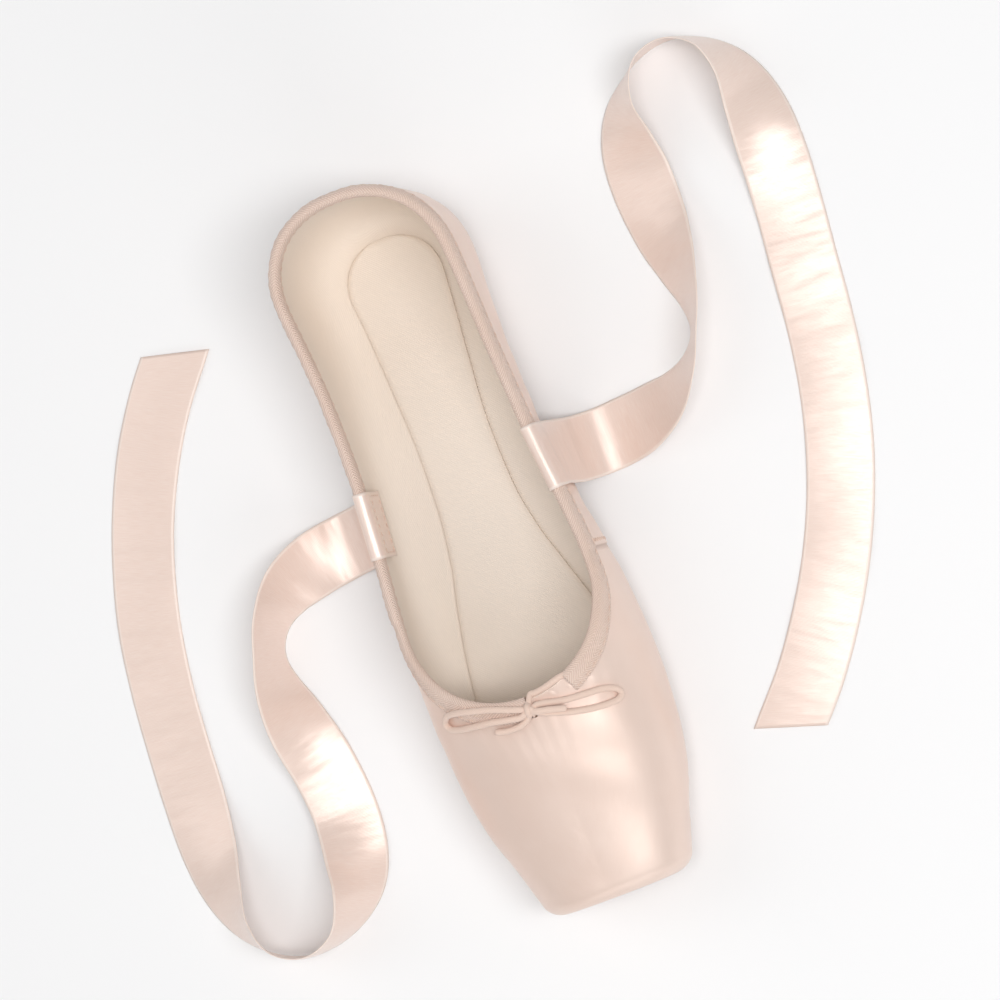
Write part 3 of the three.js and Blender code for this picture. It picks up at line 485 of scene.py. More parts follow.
def ribbon_material():
    nodes = Nodes("ribbon_satin", (0.86, 0.68, 0.58), 0.32)
    along, across = nodes.uv()
    edge = nodes.math("ABSOLUTE", across)
    selvedge = nodes.span(edge, RIBBON_WIDTH / 2 - 1.1, RIBBON_WIDTH / 2 - 0.8)
    ribs = nodes.wave(along, 0.42)
    slub = nodes.uv_noise(0.45, 3.0, (9.0, 0.5, 1))
    tone = nodes.mix(nodes.span(slub, 0.35, 0.7), (0.85, 0.67, 0.585), (0.88, 0.72, 0.64))
    nodes.color(nodes.mix(nodes.math("MULTIPLY", selvedge, 0.6), tone, (0.93, 0.82, 0.75)))
    nodes.roughness(nodes.span(selvedge, 0, 1, 0.31, 0.6))
    folds = nodes.uv_noise(0.11, 2.0, (1.0, 0.25, 1))
    nodes.bump([(folds, 0.75), (slub, 0.02), (ribs, 0.012)])
    nodes.set(Metallic=0.16, Sheen_Weight=0.1, Specular_IOR_Level=0.6, Coat_Weight=0.15, Coat_Roughness=0.32)
    return nodes.material


def cord_material():
    """Braided cotton: two crossing sets of slanted strands. The UV runs along and round the cord."""
    nodes = Nodes("drawstring", (0.78, 0.57, 0.46), 0.75)
    along, around = nodes.uv()
    turn = nodes.math("MULTIPLY", around, 1.4)
    forward = nodes.wave(nodes.math("ADD", along, turn), 0.66)
    backward = nodes.wave(nodes.math("SUBTRACT", along, turn), 0.66)
    braid = nodes.math("MAXIMUM", forward, backward)
    nodes.color(nodes.mix(nodes.span(braid, 0.5, 1.0), (0.76, 0.56, 0.46), (0.87, 0.68, 0.58)))
    nodes.bump([(braid, 0.06)])
    nodes.set(Sheen_Weight=0.4, Specular_IOR_Level=0.3)
    return nodes.material


def thread_material():
    nodes = Nodes("thread", (0.80, 0.60, 0.49), 0.55)
    twist = nodes.noise(3000.0, 2.0)
    nodes.color(nodes.mix(twist, (0.72, 0.52, 0.42), (0.84, 0.66, 0.56)))
    nodes.bump([(twist, 0.03)])
    return nodes.material


def sole_material():
    nodes = Nodes("sole_leather", (0.68, 0.53, 0.42), 0.78)
    relief = nodes.add("ShaderNodeAttribute", attribute_name="relief").outputs["Fac"]
    grain = nodes.noise(700.0, 4.0)
    fibre = nodes.noise(60.0, 5.0, (1, 0.4, 1))
    base = nodes.mix(nodes.span(fibre, 0.35, 0.65), (0.62, 0.47, 0.36), (0.71, 0.56, 0.45))
    nodes.color(nodes.mix(relief, base, (0.40, 0.26, 0.17)))
    nodes.bump([(fibre, 0.12), (grain, 0.06)])
    nodes.set(Specular_IOR_Level=0.35)
    return nodes.material


SATIN = satin_material()
LINING = lining_material()
TWILL = twill_material()
RIBBON = ribbon_material()
CORD = cord_material()
THREAD = thread_material()
LEATHER = sole_material()

# Upper

# Steps across the underside and up the side, for the satin and for its lining.
SATIN_STEPS = (40, 64)
LINING_STEPS = (4, 30)
CROWDING = 4


def opening_at(distance, turn):
    """Half width of the opening underneath."""
    if turn == 0:
        front_round = OUTSOLE_FRONT_ROUND - LASTING_MARGIN
        return float(outline_at(distance, OPENING_FRONT, OPENING_BACK, front_round, LASTING_MARGIN))
    across = (math.cos(turn) / (float(sole_half_at(HEEL_AXIS)) - LASTING_MARGIN)) ** PLAN_POWER
    along = (math.sin(turn) / (OPENING_BACK - HEEL_AXIS)) ** PLAN_POWER
    return (across + along) ** (-1 / PLAN_POWER)


def half_profile(section, opening, collar, steps):
    """Half of one section as (across, up, girth), from the opening to the collar or the crown."""
    margin_steps, side_steps = steps
    half, crown, widest, base, flat, power = (float(value) for value in section)
    low = np.linspace(0, math.pi / 2, 120, endpoint=False)
    high = np.linspace(0, math.pi / 2, 240)
    across = np.concatenate([
        flat + (half - flat) * np.sin(low) ** (2 / LOWER_POWER), half * np.cos(high) ** (2 / power)])
    up = np.concatenate([
        widest - (widest - base) * np.cos(low) ** (2 / LOWER_POWER),
        widest + (crown - widest) * np.sin(high) ** (2 / power)])
    across[-1] = 0
    reach = np.concatenate([[0], np.cumsum(np.hypot(np.diff(across), np.diff(up)))])
    whole = reach[-1]
    kept = float(np.interp(collar, up, reach)) if collar < crown else whole
    crowd = min(CROWDING, max(1, 0.8 * whole / max(whole - kept, 1e-6)))
    share = np.linspace(0, 1, side_steps + 1)
    wanted = whole * share - (whole - kept) * share ** crowd
    margin = np.linspace(opening, flat, margin_steps, endpoint=False)
    line = np.concatenate([margin, np.interp(wanted, reach, across)])
    heights = np.concatenate([np.full(margin_steps, base), np.interp(wanted, reach, up)])
    girth = np.concatenate([margin - flat, wanted])
    return line, heights, girth


def upper_stations():
    """Distances and turns of the fine stations, crowded where the outline or an edge turns quickly."""
    corner = PLATFORM_ROUND * (1 - np.cos(np.linspace(0, math.pi / 2, 11)))
    front = np.linspace(PLATFORM_ROUND, OPENING_FRONT, 24)[1:]
    margin = OPENING_FRONT + (VAMP_LENGTH - OPENING_FRONT) * np.linspace(0, 1, 45)[1:] ** 1.5
    throat = VAMP_LENGTH + (SEAM_AT - 0.2 - VAMP_LENGTH) * np.linspace(0, 1, 44)[1:] ** 2
    quarter = np.linspace(SEAM_AT + 0.2, HEEL_AXIS, 84)
    straight = np.concatenate([corner, front, margin, throat, quarter])
    turns = np.linspace(0, math.pi / 2, 73)[1:]
    distances = np.concatenate([straight, HEEL_AXIS + HEEL_DEPTH * np.sin(turns)])
    return distances, np.concatenate([np.zeros(len(straight)), turns])


DISTANCES, TURNS = upper_stations()


def upper_base(steps):
    """Places of one half of the last on the stations, their girth, and the outward directions."""
    rows, columns = len(DISTANCES), sum(steps) + 1
    places = np.zeros((rows, columns, 3))
    girths = np.zeros((rows, columns))
    for i, (distance, turn) in enumerate(zip(DISTANCES, TURNS)):
        collar = float(collar_at(distance)) if distance > VAMP_LENGTH else math.inf
        section = section_at(distance, turn)
        across, up, girths[i] = half_profile(section, opening_at(distance, turn), collar, steps)
        places[i, :, 0] = across * (math.cos(turn) if i < rows - 1 else 0)
        places[i, :, 1] = to_y(min(distance, HEEL_AXIS)) + across * math.sin(turn)
        places[i, :, 2] = up
    normals = np.cross(np.gradient(places, axis=0), np.gradient(places, axis=1))
    normals[0] = (0, -1, 0)
    normals[np.linalg.norm(normals, axis=-1) < 1e-9] = (0, 0, -1)
    normals[np.abs(places[..., 0]) < 1e-6, 0] = 0
    return places, girths, unit(normals)


BASE, GIRTHS, NORMALS = upper_base(SATIN_STEPS)

# Soft creases of the satin: side is +1 or -1, then distance and height of the middle, slant in degrees
# from upright, length, width and depth. A negative depth is a ridge.
CREASES = [
    (1, 84, 30, 18, 26, 3.2, 0.30), (1, 92, 22, 8, 24, 3.6, 0.26), (1, 118, 24, -14, 26, 4.2, 0.34),
    (1, 127, 18, -20, 20, 3.0, -0.22), (1, 152, 24, 10, 24, 4.6, 0.34), (1, 166, 28, 22, 22, 3.6, 0.26),
    (1, 189, 34, 38, 24, 3.4, 0.32), (1, 203, 26, 30, 22, 3.8, 0.24), (1, 58, 24, 32, 20, 3.4, 0.16),
    (-1, 86, 28, 14, 26, 3.4, 0.30), (-1, 97, 20, 4, 22, 3.4, -0.20), (-1, 121, 22, -12, 26, 4.4, 0.32),
    (-1, 145, 20, 12, 24, 3.8, 0.28), (-1, 160, 30, 26, 24, 4.2, 0.32), (-1, 178, 24, 18, 22, 3.4, -0.22),
    (-1, 194, 34, 40, 24, 3.4, 0.30), (-1, 206, 24, 30, 20, 3.6, 0.22), (-1, 60, 22, 30, 20, 3.2, 0.16),
]
# Gathers that run down the vamp from the casing: place across, width and depth.
GATHERS = [
    (-27, 2.0, 0.22), (-20, 1.8, 0.26), (-13, 1.6, 0.22), (-7, 1.4, 0.26), (-2.6, 1.1, 0.24),
    (2.4, 1.1, 0.22), (7.5, 1.5, 0.26), (14, 1.7, 0.2), (21, 1.9, 0.24), (28, 2.1, 0.2),
]
# Lasting pleats under the toe: angle in degrees from straight ahead, half width in degrees and depth.
PLEATS = [
    (-76, 5, 0.4), (-58, 6, 0.5), (-40, 6, 0.6), (-21, 8, 1.35), (-4, 7, 1.7), (15, 9, 0.9), (35, 7, 0.6),
    (54, 6, 0.5), (73, 5, 0.4),
]
PLEAT_CENTRE = OUTSOLE_FRONT + 24
# Half width of the heel's back piece by height, its thickness and how far inside its edge the stitches run.
heel_piece_at = smooth([(0, 14), (12, 12.4), (25, 10), (40, 8.2), (HEEL_HEIGHT, 7)])
HEEL_PIECE = 0.3
HEEL_STITCH_INSET = 1.8


def creases_on(side, distance, z):
    """Depth of the listed creases of one side."""
    depth_there = 0
    for where, middle, height, slant, length, width, depth in CREASES:
        if where != side:
            continue
        angle = math.radians(slant)
        up = (z - height) * math.cos(angle) + (distance - middle) * math.sin(angle)
        off = (distance - middle) * math.cos(angle) - (z - height) * math.sin(angle)
        shape = bell(off, width) - 0.45 * bell(off - 1.9 * width, width)
        depth_there = depth_there + depth * np.exp(-(2.2 * up / length) ** 4) * shape
    return depth_there


def gathers_at(x, distance, z):
    """Depth of the gathers that fan out of the casing over the vamp."""
    reach = np.maximum(0, VAMP_LENGTH - distance) + 0.02 * x ** 2
    depth_there = 0
    for place, width, depth in GATHERS:
        fan = place * (1 - 0.25 * np.clip(reach / 24, 0, 1))
        depth_there = depth_there + depth * bell(x - fan, width)
    return depth_there * bell(reach, 17) * (z > WIDEST_HEIGHT)


def pleats_at(x, distance, z):
    """Depth of the folds between the sole's front and the platform. Each has a steep and a soft side."""
    angle = np.degrees(np.arctan2(x, PLEAT_CENTRE - distance))
    ahead = np.hypot(x, PLEAT_CENTRE - distance)
    angle = angle + 0.25 * (ahead - 24)
    low = 1 - eased((z - (UNDERSIDE + TOE_SPRING)) / 10)
    near = eased((ahead - 17) / 5) * low * (distance < PLEAT_CENTRE) * eased((distance - 0.6) / 2.5)
    near = near * (1 - eased((ahead - 34) / 12))
    depth_there = 0
    for middle, half, depth in PLEATS:
        off = (angle - middle) / half
        fold = np.where(off < 0, bell(off, 0.2), bell(off, 0.7))
        depth_there = depth_there + depth * (fold - 0.3 * bell(off + 0.6, 0.35))
    return depth_there * near


def relief_of_upper(side):
    """Height of the satin over the plain surface, for one half."""
    x = BASE[..., 0] * side
    distance = BASE[..., 1] + LENGTH / 2
    z = BASE[..., 2]
    on_side = np.clip((1 + NORMALS[..., 2]) / 0.6, 0, 1)
    behind_front = eased(distance / 4)
    relief = SEAM_LAP * on_side * (DISTANCES[:, None] > SEAM_AT)
    relief = relief - on_side * creases_on(side, distance, z)
    relief = relief - gathers_at(x, distance, z)
    relief = relief - pleats_at(x, distance, z)
    inside = heel_piece_at(z) - np.abs(x)
    piece = HEEL_PIECE * eased((inside + 0.2) / 0.5) - 0.16 * bell(inside - HEEL_STITCH_INSET, 0.45)
    piece = piece - 0.2 * bell(inside + 0.3, 0.35)
    relief = relief + piece * (TURNS[:, None] > 0.7) * on_side
    ripple = np.sin(2 * math.pi * distance / 6.1 + 2.2 * np.sin(0.11 * distance) + side)
    near_sole = bell(GIRTHS - 2, 5) * eased((distance - 14) / 12) * (1 - eased((distance - 116) / 30))
    relief = relief - 0.16 * ripple * near_sole
    lumps = (np.sin(0.21 * distance + 0.13 * z + 0.07 * x) * np.sin(0.17 * z + 0.11 * x)
             + 0.6 * np.sin(0.37 * distance - 0.2 * z + 0.16 * x) * np.sin(0.29 * z + 0.05 * x + 1.3))
    return relief + 0.1 * lumps * on_side * behind_front


def painted_seam_shade():
    """How much painted shade lies on the seam lines at each place: at the steps of the quarters' front edges
    and of the heel piece's edges.
    """
    from_lap = DISTANCES[:, None] - (SEAM_AT - 0.15)
    lap = bell(from_lap, 0.22) * np.clip((1 + NORMALS[..., 2]) / 0.6, 0, 1)
    inside = heel_piece_at(BASE[..., 2]) - np.abs(BASE[..., 0])
    heel = bell(inside + 0.3, 0.3) * (TURNS[:, None] > 0.7)
    return 0.75 * lap + 0.6 * heel


def build_upper():
    verts, uvs, faces, looks, shades = [], [], [], [], []
    # Painted shade along the seam lines, kept in the satin's 'relief' attribute.
    shade = painted_seam_shade()
    start = 0

    def add_grid(points, uv, flip, look, dark=0):
        nonlocal start
        verts.append(points.reshape(-1, 3))
        uvs.append(uv.reshape(-1, 2))
        shades.append(np.broadcast_to(dark, points.shape[:2]).reshape(-1))
        cells = grid_faces(points.shape[0], points.shape[1], start, flip=flip)
        faces.append(cells)
        looks.append(np.full(len(cells), look))
        start += points.shape[0] * points.shape[1]

    lining_base, lining_girths, lining_normals = upper_base(LINING_STEPS)
    reach_along = np.where(TURNS > 0, HEEL_AXIS + HEEL_DEPTH * TURNS, DISTANCES)[:, None]
    satin_uv = np.stack([np.broadcast_to(reach_along, GIRTHS.shape), GIRTHS], axis=-1)
    lining_uv = np.stack([np.broadcast_to(reach_along, lining_girths.shape), lining_girths], axis=-1)
    open_under = DISTANCES >= OPENING_FRONT - 1e-6
    open_over = DISTANCES >= VAMP_LENGTH - 1e-6
    for side in (1, -1):
        mirror = np.array([side, 1, 1])
        outer = (BASE + NORMALS * relief_of_upper(side)[..., None]) * mirror
        inner = (lining_base - lining_normals * wall_at(DISTANCES)[:, None, None]) * mirror
        flip = side < 0
        for points, uv, look, turned, steps in (
            (outer, satin_uv, 0, flip, SATIN_STEPS), (inner, lining_uv, 1, not flip, LINING_STEPS),
        ):
            add_grid(points, uv, turned, look, shade if look == 0 else 0)
            share = np.linspace(0, 1, steps[0] + 1)[:, None, None]
            face = points[0, steps[0]:] * (1 - (1 - share) * (1, 0, 0))
            add_grid(face, face[..., [2, 0]], turned, look)
        under = np.stack([inner[open_under, 0], outer[open_under, 0]], axis=1)
        over = np.stack([outer[open_over, -1], inner[open_over, -1]], axis=1)
        add_grid(under, satin_uv[open_under][:, :2], flip, 1)
        add_grid(over, satin_uv[open_over][:, -2:], flip, 1)
    make_piece(
        "upper_satin", ["upper"], [SATIN, LINING], np.concatenate(verts), np.concatenate(faces),
        np.concatenate(uvs), np.concatenate(looks), np.concatenate(shades))


build_upper()

# Soles


HEXAGON_PITCH = 7.4
TREAD_END = 0.405 * LENGTH
TREAD_DEPTH = 0.26


def tread_at(x, y):
    """Share of the tread's depth: a sunk outline for each hexagon, and none past the tread's end."""
    column = HEXAGON_PITCH * math.sqrt(3) / 2
    nearest = np.full(x.shape, np.inf)
    off_x, off_y = np.zeros(x.shape), np.zeros(x.shape)
    for shift_x, shift_y in ((0, 0), (column, HEXAGON_PITCH / 2)):
        cell_x = x - shift_x - 2 * column * np.round((x - shift_x) / (2 * column))
        cell_y = y - shift_y - HEXAGON_PITCH * np.round((y - shift_y) / HEXAGON_PITCH)
        nearer = np.hypot(cell_x, cell_y) < nearest
        nearest = np.where(nearer, np.hypot(cell_x, cell_y), nearest)
        off_x, off_y = np.where(nearer, cell_x, off_x), np.where(nearer, cell_y, off_y)
    sides = [np.abs(off_x * math.cos(a) + off_y * math.sin(a)) for a in np.radians((30, 90, 150))]
    to_edge = HEXAGON_PITCH / 2 - np.max(sides, axis=0)
    return bell(to_edge - 0.62, 0.26) * (y - off_y < to_y(TREAD_END))


def plate_stops(front, back, fine_end, fine, coarse):
    """Stops along a plate: crowded at both ends, fine up to fine_end and coarse behind it."""
    ease = np.linspace(0, 1, 9) ** 2.4
    start = front + 2 * ease
    heel = back - (back - HEEL_AXIS) * np.linspace(1, 0, 22) ** 1.8
    fine_part = np.arange(front + 2 + fine, fine_end, fine)
    return np.concatenate([start, fine_part, np.arange(fine_end, HEEL_AXIS - coarse / 2, coarse), heel])


def plate(name, node, look, stops, half, low_shares, high_shares, low_z, high_z, relief=None):
    """A closed plate with an outline from half widths, and heights from low_z and high_z."""
    half[0] = half[-1] = 0

    def face_grid(shares, height):
        x = half[:, None] * shares
        y = np.repeat(to_y(stops)[:, None], len(shares), axis=1)
        return np.stack([x, y, height(x, y)], axis=-1)

    low = face_grid(low_shares, low_z)
    high = face_grid(high_shares, high_z)
    left = np.stack([low[:, 0], high[:, 0]], axis=1)
    right = np.stack([high[:, -1], low[:, -1]], axis=1)
    tones = None
    if relief is not None:
        edge = np.ones(left.shape[:2])
        tones = [relief(low[..., 0], low[..., 1]), np.zeros(high.shape[:2]), edge, edge]
    verts, faces, start = [], [], 0
    for points, flip in ((low, False), (high, True), (left, True), (right, True)):
        verts.append(points.reshape(-1, 3))
        faces.append(grid_faces(points.shape[0], points.shape[1], start, flip=flip))
        start += points.shape[0] * points.shape[1]
    verts = np.concatenate(verts)
    tones = None if tones is None else np.concatenate([tone.reshape(-1) for tone in tones])
    make_piece(name, [node], [look], verts, np.concatenate(faces), verts[:, :2], relief=tones)


def build_outsole():
    front, back = OUTSOLE_FRONT, LENGTH - OUTSOLE_BACK
    stops = plate_stops(front, back, 0.46 * LENGTH, 0.34, 1.6)
    half = outline_at(stops, front, back, OUTSOLE_FRONT_ROUND, 0)
    middle = np.linspace(-1, 1, 151)
    shares = np.sign(middle) * (1 - (1 - np.abs(middle)) ** 1.15)

    def to_edge(x, y):
        distance = y + LENGTH / 2
        return np.minimum(half[:, None] - np.abs(x), np.minimum(distance - front, back - distance))

    def low_z(x, y):
        inward = to_edge(x, y)
        rounding = 0.7
        lifted = rounding - np.sqrt(rounding ** 2 - np.clip(rounding - inward, 0, rounding) ** 2)
        sunk = TREAD_DEPTH * tread_at(x, y) * eased((inward - 0.5) / 0.6)
        return rise_at(y + LENGTH / 2) + sunk + lifted

    def high_z(x, y):
        return rise_at(y + LENGTH / 2) + OUTSOLE_THICKNESS

    def tone(x, y):
        inward = to_edge(x, y)
        lines = 0.55 * tread_at(x, y) * eased((inward - 0.5) / 0.6)
        return np.maximum(lines, np.exp(-np.maximum(inward - 0.15, 0) / 0.45))

    hidden_shares = np.linspace(-1, 1, 9)
    plate(
        "outsole_leather", "outsole", LEATHER, stops, half, shares, hidden_shares,
        low_z, high_z, tone)


def build_insole():
    front, back = INSOLE_FRONT, LENGTH - OUTSOLE_BACK - GAP
    stops = plate_stops(front, back, 0.2 * LENGTH, 2.0, 2.4)
    half = outline_at(stops, front, back, OUTSOLE_FRONT_ROUND, 2 * GAP)
    shares = np.sin(np.linspace(-math.pi / 2, math.pi / 2, 33))

    def low_z(x, y):
        distance = y + LENGTH / 2
        return UNDERSIDE + rise_at(distance) + wall_at(distance) + GAP

    def high_z(x, y):
        distance = y + LENGTH / 2
        inward = np.minimum(half[:, None] - np.abs(x), np.minimum(distance - front, back - distance))
        soft = 0.9 * (1 - np.clip(inward / 2.2, 0, 1)) ** 2
        return low_z(x, y) + INSOLE_THICKNESS - soft + 0.1 * np.sin(0.12 * y) * np.cos(0.09 * x)

    plate("insole_sock", "insole", LINING, stops, half, shares, shares, low_z, high_z)


build_outsole()
build_insole()

# Collar


def collar_ring():
    """Collar edge from the throat round by +X and the heel and back, and how far round each place is."""
    half = BASE[DISTANCES >= VAMP_LENGTH - 1e-6, -1]
    ring = np.concatenate([half, (half * (-1, 1, 1))[-2::-1]])
    reach = np.concatenate([[0], np.cumsum(np.linalg.norm(np.diff(ring, axis=0), axis=1))])
    return ring, reach


RING, RING_REACH = collar_ring()
COLLAR_LENGTH = float(RING_REACH[-1])


def ring_at(reaches):
    return np.stack([np.interp(reaches, RING_REACH, RING[:, axis]) for axis in range(3)], axis=-1)


def collar_frames(reaches):
    """Edge places, and outward, downward and onward directions, at reaches round the collar."""
    reaches = np.atleast_1d(np.asarray(reaches, dtype=float))
    edge = ring_at(reaches)
    along = unit(ring_at(reaches + 0.6) - ring_at(reaches - 0.6))
    out = outward_at(on_last(edge))
    down = unit(np.cross(out, along))
    down = np.where(down[:, 2:3] > 0, -down, down)
    return edge, out, down, along


def by_collar(frames, outset, drop):
    """Places set out from the wall by outset and down it by drop, following the last's curve."""
    edge, out, down, _ = frames
    outset = np.broadcast_to(np.asarray(outset, dtype=float), (len(edge),))[:, None]
    drop = np.broadcast_to(np.asarray(drop, dtype=float), (len(edge),))[:, None]
    place = edge + down * drop
    seat = on_last(place)
    return np.where(drop <= 0, place + out * outset, seat + outward_at(seat) * outset)


def lap_at(distance):
    return SEAM_LAP * eased((np.asarray(distance) - SEAM_AT + 0.3) / 0.6)


def casing_profile(frames, lap, wall):
    """Ring points of the folded tape, by how far out from the wall and how far down it they lie."""
    near, far = CASING_CLEARANCE, CASING_CLEARANCE + CASING_WALL
    outer, inner = lap + far, -(wall + far)
    middle = (lap - wall) / 2
    fold = (lap + wall) / 2 + far
    over = [(fold * math.cos(math.radians(turn)), drop) for turn, drop in (
        (12, -0.1), (38, -0.50 * fold), (66, -0.82 * fold))]
    skin = [
        (outer - 0.25, CASING_OUTSIDE), (outer, CASING_OUTSIDE - 0.25), (outer - 0.05, CASING_OUTSIDE - 1.0),
        (outer + 0.10, 4.2), (outer + 0.35, 3.0), (outer + 0.43, 1.8), (outer + 0.2, 0.6),
        *((middle + off, drop) for off, drop in over), (middle, -0.95 * fold),
        *((middle - off, drop) for off, drop in reversed(over)), (inner - 0.15, 1.0), (inner - 0.2, 2.4),
        (inner, CASING_INSIDE - 0.25), (inner + 0.25, CASING_INSIDE),
    ]
    channel = [
        (-(wall + near), CASING_INSIDE), (-(wall + near), 2.4), (-(wall + near), 0), (middle, -near - 0.2),
        (lap + near, 0), (lap + near, 2.0), (lap + near, 4.0), (lap + near, CASING_OUTSIDE),
    ]
    rows = [by_collar(frames, outset, drop) for outset, drop in skin + channel]
    return np.stack(rows, axis=1)


def build_casing():
    reaches = np.linspace(CASING_START, COLLAR_LENGTH - CASING_END, 560)
    frames = collar_frames(reaches)
    distance = frames[0][:, 1] + LENGTH / 2
    points = casing_profile(frames, lap_at(distance), wall_at(distance))
    pucker = 0.10 * np.sin(reaches * 2 * math.pi / 3.4) + 0.08 * np.sin(reaches * 0.41 + 1.0)
    points[:, 3:7] += frames[1][:, None, :] * pucker[:, None, None]
    rows, columns = points.shape[:2]
    widths = np.linalg.norm(np.diff(points, axis=1), axis=2).mean(axis=0)
    around = np.concatenate([[0], np.cumsum(widths)])
    uv = np.stack(np.meshgrid(reaches, around, indexing="ij"), axis=-1)
    make_piece(
        "collar_casing_tape", ["collar_casing"], [TWILL], points.reshape(-1, 3),
        swept_faces(rows, columns, flip=True), uv.reshape(-1, 2))


build_casing()


def build_stitches(name, rows, radius):
    """Short thread humps in one mesh. Each row has (start, end, outward) for one stitch."""
    sides, rings = 6, 6
    verts, faces, start = [], [], 0
    for begin, end, outward in rows:
        along = unit(end - begin)
        across = unit(np.cross(outward, along))
        for ring in range(rings + 1):
            share = ring / rings
            swell = math.sin(math.pi * min(max(share, 0.03), 0.97)) ** 0.5
            centre = begin + (end - begin) * share + outward * (0.12 * math.sin(math.pi * share) - 0.06)
            for side in range(sides):
                angle = 2 * math.pi * side / sides
                verts.append(centre + radius * swell * (across * math.cos(angle) + outward * math.sin(angle)))
        faces.append(grid_faces(rings + 1, sides, start, closed=True))
        start += (rings + 1) * sides
    verts = np.array(verts)
    make_piece(name, [], [THREAD], verts, np.concatenate(faces), verts[:, :2])


def collar_stitches():
    """A running row along each edge of the tape, outside and inside."""
    pitch, length = 3.4, 2.3
    far = CASING_CLEARANCE + CASING_WALL + 0.02
    begins = np.arange(CASING_START + 1.0, COLLAR_LENGTH - CASING_END - length - 0.5, pitch)
    rows = []
    for drop, side in ((CASING_OUTSIDE - 0.95, 1), (CASING_INSIDE - 0.9, -1)):
        ends = []
        for reaches in (begins, begins + length):
            frames = collar_frames(reaches)
            distance = frames[0][:, 1] + LENGTH / 2
            outset = lap_at(distance) + far if side > 0 else -(wall_at(distance) + far)
            ends.append(by_collar(frames, outset, drop))
        rows.extend(zip(*ends, outward_at((ends[0] + ends[1]) / 2) * side))
    build_stitches("collar_stitches", rows, 0.21)


collar_stitches()


def satin_line(side, distance):
    """A function from girth up one section of the satin to places, and the girth where the casing starts."""
    collar = float(collar_at(distance))
    across, up, girth = half_profile(section_at(distance), opening_at(distance, 0), collar, SATIN_STEPS)

    def place_at(reach):
        return np.array([side * np.interp(reach, girth, across), to_y(distance), np.interp(reach, girth, up)])

    return place_at, girth[-1] - CASING_OUTSIDE


# The zigzag row behind each side seam: how far behind the seam it runs, how wide it is and its half pitch.
ZIGZAG_BEHIND = 1.0
ZIGZAG_WIDTH = 1.5
ZIGZAG_STEP = 1.25
HEEL_STITCH_PITCH = 2.6
HEEL_STITCH = 1.8


def seam_stitches():
    """A zigzag row behind each side seam, and a running row along both edges of the heel's back piece."""
    rows = []
    for side in (1, -1):
        near, top = satin_line(side, SEAM_AT + ZIGZAG_BEHIND)
        far, _ = satin_line(side, SEAM_AT + ZIGZAG_BEHIND + ZIGZAG_WIDTH)
        for number, reach in enumerate(np.arange(0.4, top - 1.5, ZIGZAG_STEP)):
            begin, end = (near, far) if number % 2 else (far, near)
            places = np.array([begin(reach), end(reach + ZIGZAG_STEP)])
            outward = outward_at(places.mean(axis=0, keepdims=True))[0]
            lap = SEAM_LAP * min(1, max(0, (1 + outward[2]) / 0.6))
            rows.append((places[0] + outward * lap, places[1] + outward * lap, outward))
        for z in np.arange(6.0, HEEL_HEIGHT - CASING_OUTSIDE - 3, HEEL_STITCH_PITCH):
            ends = []
            for height in (z, z + HEEL_STITCH):
                across = float(heel_piece_at(height)) - HEEL_STITCH_INSET
                ends.append(on_last(np.array([[side * across, LENGTH / 2 - 2.0, height]]))[0])
            outward = outward_at(np.mean(ends, axis=0, keepdims=True))[0]
            lift = outward * (SEAM_LAP + 0.14)
            rows.append((ends[0] + lift, ends[1] + lift, outward))
    build_stitches("seam_stitches", rows, 0.16)


seam_stitches()

# Drawstring


def curve_through(points, count):
    """Places evenly spaced along a smooth curve through points, and the length of the curve."""
    points = np.asarray(points, dtype=float)
    padded = np.concatenate([[2 * points[0] - points[1]], points, [2 * points[-1] - points[-2]]])
    fine = []
    per_step = 24
    for i in range(len(points) - 1):
        p0, p1, p2, p3 = padded[i:i + 4]
        t = np.arange(per_step)[:, None] / per_step
        fine.append(0.5 * (2 * p1 + (p2 - p0) * t + (2 * p0 - 5 * p1 + 4 * p2 - p3) * t ** 2
                           + (3 * p1 - p0 - 3 * p2 + p3) * t ** 3))
    fine = np.concatenate([*fine, points[-1:]])
    reach = np.concatenate([[0], np.cumsum(np.linalg.norm(np.diff(fine[:, :3], axis=0), axis=1))])
    even = np.linspace(0, reach[-1], count)
    return np.stack([np.interp(even, reach, column) for column in fine.T], axis=-1), reach[-1]


def build_cord(name, replaced, points):
    """A closed round tube along places, with domed ends. The UV runs along and round it."""
    radius, sides = CORD_DIAMETER / 2, 16
    along = unit(np.gradient(points, axis=0))
    normal = unit(np.cross(along[0], (0.3, 0.2, 1.0)))
    reach = np.concatenate([[0], np.cumsum(np.linalg.norm(np.diff(points, axis=0), axis=1))])
    verts, uvs = [], []
    for i, place in enumerate(points):
        normal = unit(normal - along[i] * np.dot(normal, along[i]))
        side_way = np.cross(along[i], normal)
        to_end = min(reach[i], reach[-1] - reach[i]) / (0.8 * radius)
        size = radius * math.sqrt(max(0.0009, 1 - max(0.0, 1 - to_end) ** 2))
        for side in range(sides + 1):
            angle = 2 * math.pi * side / sides
            verts.append(place + size * (normal * math.cos(angle) + side_way * math.sin(angle)))
            uvs.append((reach[i], radius * angle))
    faces = swept_faces(len(points), sides + 1, flip=True)
    return make_piece(name, replaced, [CORD], verts, faces, uvs)


